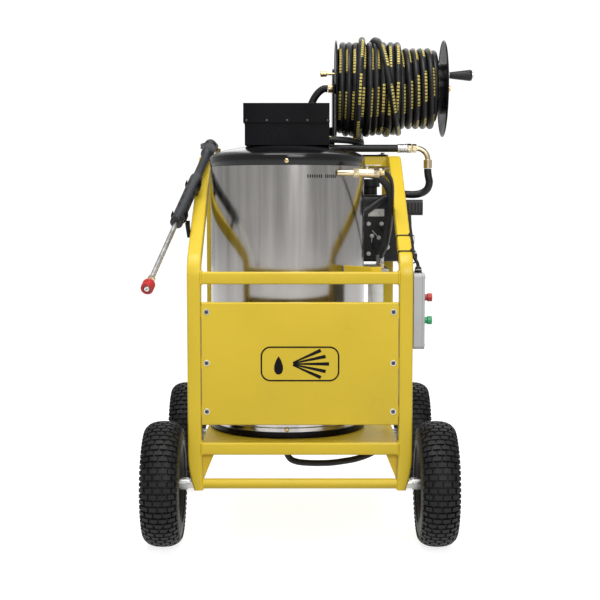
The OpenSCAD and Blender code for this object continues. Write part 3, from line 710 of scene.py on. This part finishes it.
def add_plates():
    """Gussets, the panel's tabs and the boiler's stay."""
    plates = []
    for side in (-1, 1):
        x = side * (INNER - 14)
        plates.append(prism([
            (side * (INNER - 0.3), 246), (side * (INNER - 32), 246),
            (side * (INNER - 32), 243), (side * (INNER - 3.6), 174)], "y", 4, 8))
        for z in SCREW_Z:
            plates.append(box((x - 14, -15, z - 15), (x + 14, -12, z + 15)))
    back = BAR / 2 + 2.5
    path = rounded([(214, back, 0), (190, back, 0), (150, 62, 0), (119.5, 101.5, 0)], 14, 6)
    stay = []
    for p, side, up in carried(path):
        stay.append([
            (p.x + c * side.x, p.y + c * side.y, z)
            for c, z in ((-2, 704), (2, 704), (2, 738), (-2, 738))])
    plates.append(skin(stay))
    build("gussets_and_tabs", plates, "yellow_paint", bevel=0.8, replaces="crossbars")


def add_floor():
    plates = [box((-INNER, 17, 273), (INNER, 708, 276))]
    for side in (-1, 1):
        edge, inward = side * INNER, side * (INNER - 3)
        plates.append(box((min(edge, inward), 17, 252), (max(edge, inward), 708, 273)))
    build("floor_sheet", plates, "yellow_paint", bevel=1.0, replaces="floor_plate")


def add_panel():
    """The front sheet: its edges fold back round a small radius."""
    t, fold, r = 2.0, 18.0, 4.0
    outer = rounded([
        (PANEL_FACE + fold, PANEL_LOW, 0), (PANEL_FACE, PANEL_LOW, 0), (PANEL_FACE, PANEL_TOP, 0),
        (PANEL_FACE + fold, PANEL_TOP, 0)], r, 6)
    inner = rounded([
        (PANEL_FACE + fold, PANEL_LOW + t, 0), (PANEL_FACE + t, PANEL_LOW + t, 0),
        (PANEL_FACE + t, PANEL_TOP - t, 0), (PANEL_FACE + fold, PANEL_TOP - t, 0)], r - t, 6)
    outline = [(p.x, p.y) for p in outer] + [(p.x, p.y) for p in reversed(inner)]
    build("front_cover", [prism(outline, "x", -PANEL_SIDE, PANEL_SIDE)], "yellow_paint",
          bevel=0.6, replaces="front_panel")
    heads, washers = [], []
    for x in (-SCREW_X, SCREW_X):
        for z in SCREW_Z:
            heads += dome_screw((x, PANEL_FACE - 0.6, z), (0, -1, 0), 5.4, 2.8)
            washers.append(rod((x, PANEL_FACE, z), (x, PANEL_FACE - 0.8, z), 8.0, 0.3, 28))
    build("cover_screw_heads", heads, "dark_steel", replaces="cover_screws")
    build("cover_washers", washers, "zinc_steel")
    add_emblem()


EMBLEM = (0.0, 486.0)


def emblem_frame(y0, y1):
    outer = round_rect(206, 92, 26, 8, EMBLEM)
    inner = round_rect(198, 84, 22, 8, EMBLEM)
    return skin(
        [[(a[0], y0, a[1]), (b[0], y0, b[1]), (b[0], y1, b[1]), (a[0], y1, a[1])]
         for a, b in zip(outer, inner)], closed=True)


def emblem_drop(y0, y1):
    cx, cz = EMBLEM
    outline = []
    for i in range(40):
        a = math.tau * i / 40
        width = 15 * math.sin(a) * math.sin(a / 2) ** 0.9
        outline.append((cx - 56 + width, cz - 4 + 24 * math.cos(a)))
    return prism(outline, "y", y0, y1)


def emblem_spray(number, y0, y1):
    tilt = math.radians(-24 + 12 * number)
    long = Vector((math.cos(tilt), math.sin(tilt)))
    wide = Vector((-long.y, long.x))
    start = Vector(EMBLEM) + Vector((-26, 0)) + long * 8
    end = start + long * (94 - 7 * abs(number - 2))
    outline = [start + wide * 1.6, start - wide * 1.6, end - wide * 4.6, end + wide * 4.6]
    return prism([(p.x, p.y) for p in outline], "y", y0, y1)


def add_emblem():
    """A generic mark: a drop and a fan of spray lines inside a rounded frame."""
    y0, y1 = PANEL_FACE - 0.5, PANEL_FACE + 0.2
    shapes = [emblem_frame(y0, y1), emblem_drop(y0, y1)]
    shapes += [emblem_spray(number, y0, y1) for number in range(5)]
    build("emblem", shapes, "black_paint")


# ---- Boiler ----


def ring_bead(r, z, size):
    points = [(BOILER[0] + r * math.cos(a), BOILER[1] + r * math.sin(a), z)
              for a in (math.tau * i / 128 for i in range(128))]
    return pipe(points, size, 10, closed=True)


def add_boiler():
    refine("boiler_shell", "stainless", bevel=0)
    build("shell_bead", [ring_bead(BOILER_R + 0.2, 306, 1.6)], "stainless")
    refine("boiler_base_ring", "black_paint", bevel=0.8)
    refine("boiler_coil", "copper_pipe", bevel=0)
    axis = (*BOILER, 0)
    z = SHELL_TOP
    curve = smooth_route([
        (BOILER_R + 2, z + 24, 0), (214.6, z + 28, 0), (209, z + 32.5, 0), (191, z + 40, 0),
        (165, z + 47, 0), (140, z + 51.5, 0), (117, z + 54.5, 0), (97, z + 55.8, 0),
        (80, z + 56, 0)], 4)
    profile = [(z + 0.6, BOILER_R + 1.4), (z + 1.6, BOILER_R + 2)]
    profile += [(p.y, p.x) for p in curve]
    profile += [(z + 52, 80), (z + 22, BOILER_R - 10), (z + 0.6, BOILER_R - 10)]
    build("lid_dome", [lathe(profile, axis, segments=128, closed=True)], "gloss_black",
          replaces="boiler_lid", angle=40)
    screws = []
    for height in (302, 1016):
        screws += dome_screw((BOILER[0], BOILER[1] - BOILER_R - 2.4, height), (0, -1, 0), 6.5, 3.6)
    build("band_screws", screws, "brass", replaces="cover_screws")
    add_hood()
    add_rating_marks()


def add_hood():
    refine("draft_hood", "black_paint", bevel=1.0)
    rivets = []
    for x in (-145, -90, -35, 20, 75):
        rivets += dome_screw((x, 151.2, 1128), (0, -1, 0), 3.2, 1.6)
        rivets += dome_screw((x, 358.8, 1128), (0, 1, 0), 3.2, 1.6)
    for y in (180, 255, 330):
        rivets += dome_screw((-153.8, y, 1128), (-1, 0, 0), 3.2, 1.6)
        rivets += dome_screw((79.8, y, 1128), (1, 0, 0), 3.2, 1.6)
    build("hood_rivets", rivets, "dark_steel")


def add_rating_marks():
    """Short dark strokes in place of the printed line near the shell's upper edge."""
    strokes = []
    first, past, count = math.radians(-74.8), math.radians(-52.6), 14
    r = BOILER_R + 0.25
    for i in range(count):
        if i == 7:
            continue
        a = first + (past - first) * i / (count - 1)
        tall = 8 if i % 3 else 9.5
        half = 0.0075
        ring = [[
            (BOILER[0] + (r + d) * math.cos(b), BOILER[1] + (r + d) * math.sin(b), 976 + h)
            for d, h in ((0, -tall / 2), (0, tall / 2), (-0.4, tall / 2), (-0.4, -tall / 2))]
            for b in (a - half, a, a + half)]
        strokes.append(skin(ring))
    build("shell_marks", strokes, "black_paint")


# ---- Wheels ----


def tyre_outline(inset=0.0):
    """The tyre's outer curve as (across, radius) from one side to the other."""
    low, rise = TYRE_R - 38, 38
    half = []
    for i in range(17):
        a = math.radians(i * 90 / 16)
        across = TYRE_HALF * max(0.0, math.cos(a)) ** 0.8
        r = low + rise * math.sin(a) ** 0.9
        n = Vector((math.cos(a) / TYRE_HALF, math.sin(a) / rise)).normalized()
        half.append((across - inset * n.x, r - inset * n.y))
    return [(-x, r) for x, r in half] + [(x, r) for x, r in reversed(half[:-1])]


def on_wheel(across, r, a):
    return Vector((across, r * math.cos(a), r * math.sin(a)))


def carcass():
    depth = 5.5
    crown = tyre_outline(depth)
    wall = [(31.8, 84.4), (36.2, 85.6), (42, 92), (46, 100), (49, 108), (50, 114), (48.6, 120)]
    profile = [(-31.2, 76.5)] + [(-x, r) for x, r in wall] + crown
    profile += list(reversed(wall)) + [(31.2, 76.5)]
    segments = 72
    rings = [[on_wheel(x, r, math.tau * k / segments) for x, r in profile] for k in range(segments)]
    points, faces = skin(rings, closed=True)
    return points, faces


def tread_block(s0, s1, a0, a1, depth=6.0, taper=1.1):
    """One block of the tread between two places across and two angles."""
    curve = tyre_outline()
    lengths = [0.0]
    for (x0, r0), (x1, r1) in zip(curve, curve[1:]):
        lengths.append(lengths[-1] + math.hypot(x1 - x0, r1 - r0))
    total = lengths[-1]

    def place(s, a, down):
        s = min(max(s + total / 2, 0.01), total - 0.01)
        i = max(k for k in range(len(lengths)) if lengths[k] <= s)
        i = min(i, len(curve) - 2)
        t = (s - lengths[i]) / (lengths[i + 1] - lengths[i])
        (x0, r0), (x1, r1) = curve[i], curve[i + 1]
        flat = Vector((x1 - x0, r1 - r0)).normalized()
        x, r = x0 + (x1 - x0) * t + flat.y * down, r0 + (r1 - r0) * t - flat.x * down
        return on_wheel(x, r, a)
    steps = 3
    across = [s0 + (s1 - s0) * k / steps for k in range(steps + 1)]
    tapers = [taper if k == 0 else -taper if k == steps else 0 for k in range(steps + 1)]
    lean = taper / TYRE_R
    rings = []
    for s, t in zip(across, tapers):
        rings.append([
            place(s, a0, depth), place(s + t, a0 + lean, 0), place(s + t, a1 - lean, 0),
            place(s, a1, depth)])
    return skin(rings)


def tyre_mesh():
    """Rubber with rows of staggered blocks, about the wheel's own middle, in metres."""
    parts = [carcass()]
    courses = 62
    pitch = math.tau / courses
    wide, gap = 20.4, 3.2
    even = [(i * (wide + gap) - wide / 2, i * (wide + gap) + wide / 2) for i in range(-2, 3)]
    odd = [((i + 0.5) * (wide + gap) - wide / 2, (i + 0.5) * (wide + gap) + wide / 2)
           for i in range(-2, 2)]
    odd = [(-57.3, odd[0][0] - gap)] + odd + [(odd[-1][1] + gap, 57.3)]
    for k in range(courses):
        middle = k * pitch
        for s0, s1 in odd if k % 2 else even:
            parts.append(tread_block(s0, s1, middle - pitch * 0.4, middle + pitch * 0.4))
    ribs = []
    for side in (-1, 1):
        for r in (101, 105):
            points = [on_wheel(side * (46.6 + (r - 101) * 0.35), r, math.tau * k / 72) for k in range(72)]
            ribs.append(pipe(points, 1.2, 6, closed=True))
    points, faces = [], []
    for part_points, part_faces in parts + ribs:
        base = len(points)
        points += [Vector(p) / 1000 for p in part_points]
        faces += [[base + i for i in face] for face in part_faces]
    mesh = bpy.data.meshes.new("turf_tyre")
    mesh.from_pydata(points, [], faces)
    finish_mesh(mesh, 32)
    mesh.materials.append(LOOKS["tyre"])
    return mesh


def add_wheels():
    rubber = tyre_mesh()
    for end, y in (("front", 0), ("rear", WHEELBASE)):
        for name, side in (("left", -1), ("right", 1)):
            body = f"{end}_{name}_wheel"
            obj = bpy.data.objects.new(f"{body}_tread", rubber)
            obj.location = at(side * TRACK, y, TYRE_R)
            bpy.context.scene.collection.objects.link(obj)
            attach(obj, body)
            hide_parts(f"{end}_{name}_tyre")
            add_rim(f"{end}_{name}", side, y)
            add_wheel_bolts(body, side, y)
    refine("axles", "zinc_steel", bevel=0)
    add_axle_paint()


def add_rim(wheel, side, y):
    """The pressed rim and its hub, turned about the axle."""
    profile = [
        (-38, 12.6), (-38, 20), (-37, 21), (-4, 21), (-4, 60), (-14, 72), (-30, 72), (-32, 74),
        (-34.6, 84), (-32, 84), (-31.5, 76), (31.5, 76), (32, 84), (34.6, 84), (32, 74),
        (30, 72), (-2, 72), (4, 60), (4, 21), (37, 21), (38, 20), (38, 12.6)]
    body = f"{wheel}_wheel"
    build(f"{wheel}_rim_skin",
          [lathe(profile, (side * TRACK, y, TYRE_R), (1, 0, 0), 96, closed=True)],
          "black_paint", body, replaces=f"{wheel}_rim")


def add_wheel_bolts(body, side, y):
    parts = []
    x = side * (TRACK + 4)
    for k in range(4):
        a = math.tau * (k + 0.5) / 4
        place = (x, y + 42 * math.cos(a), TYRE_R + 42 * math.sin(a))
        parts += bolt(place, (side, 0, 0), 6.5, 6)
    build(f"{body}_bolts", parts, "zinc_steel", body)
    stem = (side * (TRACK + 26), y + 66, TYRE_R)
    build(f"{body}_valve", [
        rod(stem, (side * (TRACK + 40), y + 62, TYRE_R), 3.2),
        rod((side * (TRACK + 38), y + 62.6, TYRE_R),
            (side * (TRACK + 46), y + 60.4, TYRE_R), 3.9)], "black_plastic", body)


def add_axle_paint():
    """The axles' painted sleeves between the hoops."""
    build("axle_sleeves", [
        rod((-INNER + 1, y, TYRE_R), (INNER - 1, y, TYRE_R), 13.4, 0.6, 40) for y in (0, WHEELBASE)],
        "yellow_paint")


# ---- Hose reel ----


def add_reel():
    refine("reel_stand", "black_paint", bevel=0.9)
    refine("reel_drum", "black_paint", "reel", bevel=0)
    refine("reel_swivel", "brass", bevel=0.5)
    refine("crank_spindle", "zinc_steel", "reel", bevel=0.4)
    refine("crank_grip", "black_plastic", "reel_grip", bevel=0)
    stand_bolts = []
    for x in (76, 246):
        for y in (496, 634):
            stand_bolts += bolt((x, y, 1047), (0, 0, 1), 6.5, 5)
    build("stand_bolts", stand_bolts, "zinc_steel")
    hub = []
    for k in range(6):
        a = math.tau * k / 6
        place = (REEL_RIGHT, REEL_Y + 58 * math.cos(a), REEL_Z + 58 * math.sin(a))
        hub += bolt(place, (1, 0, 0), 5.5, 4)
    build("hub_bolts", hub, "zinc_steel", "reel")
    build("hub_nut", [
        nut((440.2, REEL_Y, REEL_Z), (450, REEL_Y, REEL_Z), 13),
        rod((450, REEL_Y, REEL_Z), (454, REEL_Y, REEL_Z), 8)], "brass")
    build("lock_pin", [
        rod((76, 524, 1288), (104, 524, 1288), 4.2),
        rod((70, 524, 1288), (80, 524, 1288), 8.5, 1.5),
        lathe([(0, 6), (2, 9), (10, 9), (12, 6)], (60, 524, 1288), (1, 0, 0), 24)], "brass")


# ---- Spray gun ----


GUN_WAY = (GUN_TOP - GUN_TIP).normalized()


def gun_at(along, side=0.0, up=0.0):
    """A point near the gun's own line."""
    across, over = sides_of(GUN_WAY)
    return GUN_TIP + GUN_WAY * along + across * side - over * up


def gun_lathe(profile, segments=40):
    return lathe(profile, GUN_TIP, GUN_WAY, segments)


def add_gun():
    build("gun_nozzle", [gun_lathe([
        (4, 9), (0.4, 9.6), (0, 10.6), (0, 13.8), (1.6, 15.6), (6, 16), (13, 16), (14, 15),
        (16, 15), (17, 16), (24, 16), (27, 15.2), (30.3, 11.5), (30.5, 8)])], "red_plastic", "nozzle",
        replaces="spray_nozzle")
    build("nozzle_tip", [gun_lathe([(3.8, 2), (1.0, 2.4), (0.8, 6.5), (4.2, 9.2)])], "zinc_steel",
          "nozzle")
    build("lance", [gun_lathe([(22, 6.75), (316, 6.75)], 28)], "zinc_steel", "gun",
          replaces="lance_tube")
    build("lance_collar", [
        rod(gun_at(31), gun_at(41), 11, 1, 6), rod(gun_at(41), gun_at(52), 9.6, 1.2, 32)],
        "pale_brass", "gun", replaces="lance_tube")
    add_gun_sleeve()
    add_gun_handle()
    refine("gun_trigger", "charcoal_plastic", "trigger", bevel=1.2)
    add_gun_cradles()


def add_gun_sleeve():
    profile = [(318, 8), (318, 13.5), (320, 15.6), (326, 16.6), (334, 17.3), (352, 17.5)]
    profile += [(560, 17.5), (565, 16.8), (566, 12)]
    build("sleeve_body", [gun_lathe(profile, 44)], "charcoal_plastic", "gun",
          replaces="lance_sleeve")
    build("sleeve_ring", [gun_lathe([
        (318, 7.5), (318.2, 15.5), (320, 17.4), (329, 17.4), (330, 16)])],
          "black_plastic", "gun", replaces="lance_sleeve")
    slots = []
    for k in range(4):
        low = 390 + k * 40
        for turn in (0, 90, 180, 270):
            a = math.radians(turn + 20)
            outline = round_rect(22, 8.5, 4, 4)
            rings = []
            for lift in (16.2, 17.8):
                ring = []
                for u, v in outline:
                    b = a + v / 17.5
                    ring.append(gun_at(low + u, lift * math.cos(b), lift * math.sin(b)))
                rings.append(ring)
            slots.append(skin(rings))
    build("sleeve_slots", slots, "black_plastic", "gun")


def add_gun_handle():
    hub = GUN_TOP
    grip_z = hub.z + 5
    build("gun_stem", [gun_lathe([
        (565, 10), (566.4, 12), (690, 12), (700, 15), (706, 18.2), (712, 18.6), (744, 18.6),
        (750, 17.5), (752, 14)])], "charcoal_plastic", "gun", replaces="gun_body")
    knob = [(18.5 * math.sin(math.radians(a)) + 18.5, 18.5 * math.cos(math.radians(a)))
            for a in range(-85, 90, 10)]
    knuckle = lathe(knob, (hub.x, hub.y, hub.z + 3 - 18.5), (0, 0, 1), 40)
    grip = [(0, 14), (6, 15)]
    for k in range(5):
        y = 74 + k * 11
        grip += [(y, 15), (y + 3, 13.8), (y + 6, 15)]
    grip += [(130, 15), (134, 14), (136, 11)]
    handle = lathe(grip, (hub.x, hub.y, grip_z), (0, 1, 0), 40)
    build("gun_handle", [knuckle, handle], "charcoal_plastic", "gun", replaces="gun_body")
    build("gun_inlet", [
        nut((-248, 552, 1044.2), (-248, 552, 1054), 10.2),
        rod((-248, 552, 1054), (-248, 552, 1068), 8.6)], "brass", "gun", replaces="gun_body")
    build("gun_screws", [
        *dome_screw((hub.x, 448, grip_z + 14.6), (0, 0, 1), 3.4, 1.6),
        *dome_screw((hub.x, 540, grip_z + 14.6), (0, 0, 1), 3.4, 1.6)], "zinc_steel", "gun")


def add_gun_cradles():
    refine("gun_cradles", "black_paint", bevel=0.6)


# ---- Burner, tank, engine and pump ----


def add_burner():
    refine("burner", "dark_steel", bevel=1.2)
    refine("diesel_tank", "black_plastic", bevel=2.0, steps=3)
    refine("diesel_cap", "red_plastic", "fuel_cap", bevel=1.2)
    ribs = []
    for k in range(20):
        a = math.tau * k / 20
        p = (-200 + 38 * math.cos(a), 585 + 38 * math.sin(a))
        ribs.append(rod((*p, 526), (*p, 545), 2.0, 0.6, 10))
    build("cap_ribs", ribs, "red_plastic", "fuel_cap")


def add_engine():
    refine("engine_shelf", "zinc_steel", bevel=1.2)
    refine("engine_crankcase", "engine_black", bevel=2.0, steps=3)
    refine("engine_cylinder", "engine_black", bevel=0.8)
    refine("fan_shroud", "engine_black", bevel=1.6)
    refine("engine_muffler", "engine_black", bevel=1.6)
    refine("air_cleaner", "black_plastic", bevel=1.6)
    refine("recoil_handle", "black_plastic", "starter_grip", bevel=1.2)
    refine("throttle_lever", "zinc_steel", "throttle", bevel=0.6)
    refine("crankshaft", "zinc_steel", "engine_shaft", bevel=0.5)
    parts = []
    for x in (50, 90, 130, 170):
        parts += bolt((x, 520, 745), (0, -1, 0), 5.5, 4)
        parts += bolt((x, 520, 846), (0, -1, 0), 5.5, 4)
    for y in (516, 676):
        for z in (744, 912):
            parts += bolt((302, y, z), (1, 0, 0), 5.0, 4)
    for x in (70, 150):
        for y in (560, 640):
            parts += bolt((x, y, 950), (0, 0, 1), 5.5, 5)
    build("engine_bolts", parts, "zinc_steel")
    build("spark_plug", [
        rod((110, 560, 922), (110, 536, 930), 6.5), rod((110, 538, 929), (110, 516, 936), 9, 2)],
        "black_plastic")
    add_shroud_details()
    add_muffler_guard()


def add_shroud_details():
    """Screws, a fuel tap and a linkage on the shroud's front face."""
    face = 500.0
    screws = []
    for x, z in ((206, 752), (206, 842), (244, 842), (236, 800), (216, 806), (250, 764)):
        screws += bolt((x, face, z), (0, -1, 0), 4.4, 3.5)
    screws.append(rod((236, 497, 800), (216, 497, 822), 1.6, 0.4, 12))
    screws.append(rod((216, 497, 806), (214, 497, 786), 1.6, 0.4, 12))
    build("shroud_screws", screws, "zinc_steel")
    build("fuel_tap", [
        rod((226, face, 776), (226, face - 9, 776), 9, 1.2),
        box((223, face - 13, 768), (229, face - 8.5, 792)),
        rod((250, face, 826), (250, face - 7, 826), 6.5, 1)], "black_plastic", bevel=0.6)
    build("shroud_plate", [box((204, face - 1.4, 864), (252, face - 0.1, 886))], "zinc_steel",
          bevel=0.5)


def add_muffler_guard():
    """Ribs on the muffler's cover."""
    ribs = [
        rod((292 + 9.7 * k, 418.6, 876), (292 + 9.7 * k, 418.6, 906), 2.4, 0.8, 12)
        for k in range(7)]
    build("muffler_ribs", ribs, "dark_steel")


def add_pump():
    refine("pump_crankcase", "cast_aluminium", bevel=2.0, steps=3)
    refine("pump_manifold", "brass", bevel=0.8)
    refine("unloader_knob", "black_plastic", "unloader", bevel=0.8)
    fins = [box((-140 + k * 18, 540, 790), (-134 + k * 18, 546, 866)) for k in range(7)]
    build("pump_fins", fins, "cast_aluminium", bevel=1.0)
    bolts = []
    for x in (-152, -101, -55):
        for z in (756, 836):
            bolts += bolt((x, 722, z), (0, 1, 0), 5, 4, False)
    build("manifold_bolts", bolts, "zinc_steel")
    build("oil_cap", [rod((-78, 600, 868), (-78, 600, 884), 12, 2, 12)], "black_plastic")


# ---- Controls ----


def add_controls():
    refine("control_box", "grey_plastic", bevel=1.6, steps=3)
    refine("control_lid", "grey_plastic", bevel=1.8, steps=3)
    refine("button_bezels", "black_plastic", bevel=0.8)
    refine("red_button", "red_plastic", "stop_button", bevel=2.2, steps=3)
    refine("green_button", "green_plastic", "start_button", bevel=2.2, steps=3)
    corners = []
    for y in (BUTTON_Y - 54, BUTTON_Y + 54):
        for z in (534, 711):
            corners += dome_screw((LID_X + 7, y, z), (1, 0, 0), 4.6, 2.0)
    build("lid_screws", corners, "zinc_steel")
    build("cable_gland", [
        nut((311, 25, 722), (311, 25, 730), 10.5),
        lathe([(0, 9), (5, 8.6), (8, 6.4), (9.5, 4)], (311, 25, 730), (0, 0, 1), 32)],
        "black_plastic")
    build("panel_stud", [rod((LID_X + 6, BUTTON_Y, 690), (LID_X + 9, BUTTON_Y, 690), 5)],
          "black_plastic")
    cable = smooth_route([
        (311, 25, 737), (309, 28, 748), (303, 38, 760), (300, 55, 778), (299.8, 92, 803),
        (299.8, 140, 834), (299.8, 195, 870)], 6)
    build("control_cable", [pipe(cable, 4.5, 14)], "black_plastic")
    add_ties()


def strap(y, z, lean):
    """A cable tie round the right hoop, square to a tube that leans by an angle."""
    low, high = INNER - 1.2, HALF_W + 9.8
    way = Vector((0, math.cos(lean), math.sin(lean)))
    over = Vector((0, math.sin(lean), -math.cos(lean)))
    middle = Vector(((low + high) / 2, y, z))
    rings = []
    for u, v in round_rect(high - low, TUBE + 2.4, 6, 5):
        out = Vector((u, v)).normalized() * 1.2
        rings.append([
            middle + Vector((u + a * out.x, 0, 0)) + over * (v + a * out.y) + way * b
            for a, b in ((0, -2.4), (1, -2.4), (1, 2.4), (0, 2.4))])
    head = middle + Vector((high - middle.x - 12, 0, 0)) - over * (TUBE / 2 + 4.5)
    return [skin(rings, closed=True), rod(head - way * 4, head + way * 4, 3.6, 0.8, 4)]


def add_ties():
    slope = math.atan2(RAIL_Z - SLOPE_LOW, SLOPE_BACK)
    parts = strap(91, 803, slope) + strap(30, 763.5, slope)
    build("cable_ties", parts, "black_plastic", bevel=0.3)


# ---- Valve and fittings ----


def add_fittings():
    refine("outlet_valve", "pale_brass", bevel=0.7)
    refine("valve_lever", "zinc_steel", "outlet_lever", bevel=0.3)
    refine("hose_fittings", "pale_brass", bevel=0.7)


# ---- Stage ----


def glow(material, strength):
    shader = material.node_tree.nodes["Principled BSDF"]
    shader.inputs["Emission Color"].default_value = (1, 1, 1, 1)
    shader.inputs["Emission Strength"].default_value = strength


def add_floor_disc():
    material = look("studio_floor", (0.45, 0.45, 0.45), 0.9, vary=0.01, grain=40, bump=0.02)
    glow(material, 0.82)
    size, count = 14.0, 48
    points = [(size * math.cos(math.tau * i / count), size * math.sin(math.tau * i / count),
               -0.0005) for i in range(count)]
    mesh = bpy.data.meshes.new("studio_floor")
    mesh.from_pydata(points, [], [tuple(range(count))])
    mesh.materials.append(material)
    floor = bpy.data.objects.new("studio_floor", mesh)
    floor.visible_diffuse = False
    bpy.context.scene.collection.objects.link(floor)


def add_backdrop():
    """A white shell far behind the machine that only the camera sees."""
    material = look("studio_backdrop", (0.02, 0.02, 0.02), 1.0, vary=0.01, grain=2, bump=0.0)
    glow(material, 1.05)
    size, rows = 30.0, 24
    profile = [(size * 1000 * math.cos(math.pi * i / rows),
                max(1.0, size * 1000 * math.sin(math.pi * i / rows))) for i in range(rows + 1)]
    points, faces = lathe(profile, (0, 0, 0), segments=48)
    mesh = bpy.data.meshes.new("studio_backdrop")
    mesh.from_pydata([Vector(p) / 1000 for p in points], [], faces)
    mesh.materials.append(material)
    shell = bpy.data.objects.new("studio_backdrop", mesh)
    shell.visible_diffuse = False
    shell.visible_glossy = False
    shell.visible_transmission = False
    shell.visible_shadow = False
    bpy.context.scene.collection.objects.link(shell)


def add_stage():
    add_floor_disc()
    add_backdrop()
    world = bpy.data.worlds.new("studio")
    world.use_nodes = True
    world.node_tree.nodes["Background"].inputs["Color"].default_value = (1, 1, 1, 1)
    world.node_tree.nodes["Background"].inputs["Strength"].default_value = 0.5
    bpy.context.scene.world = world
    bpy.context.scene.view_settings.view_transform = "Standard"
    soft_light("overhead", (-0.3, -1.2, 4.4), (0, 0, 0.6), 2.4, 125)
    soft_light("front", (1.1, -5.2, 3.0), (0, 0, 0.6), 2.2, 110)
    soft_light("back", (0.5, 3.4, 3.2), (0, 0, 0.7), 3.0, 50)


def soft_light(name, place, target, size, power):
    data = bpy.data.lights.new(name, "AREA")
    data.energy = power
    data.size = size
    light = bpy.data.objects.new(name, data)
    light.location = place
    way = Vector(target) - Vector(place)
    light.rotation_euler = way.to_track_quat("-Z", "Y").to_euler()
    bpy.context.scene.collection.objects.link(light)


add_camera()
add_hoses()
add_ferrules()
add_frame()
add_panel()
add_boiler()
add_wheels()
add_reel()
add_gun()
add_burner()
add_engine()
add_pump()
add_controls()
add_fittings()
add_stage()
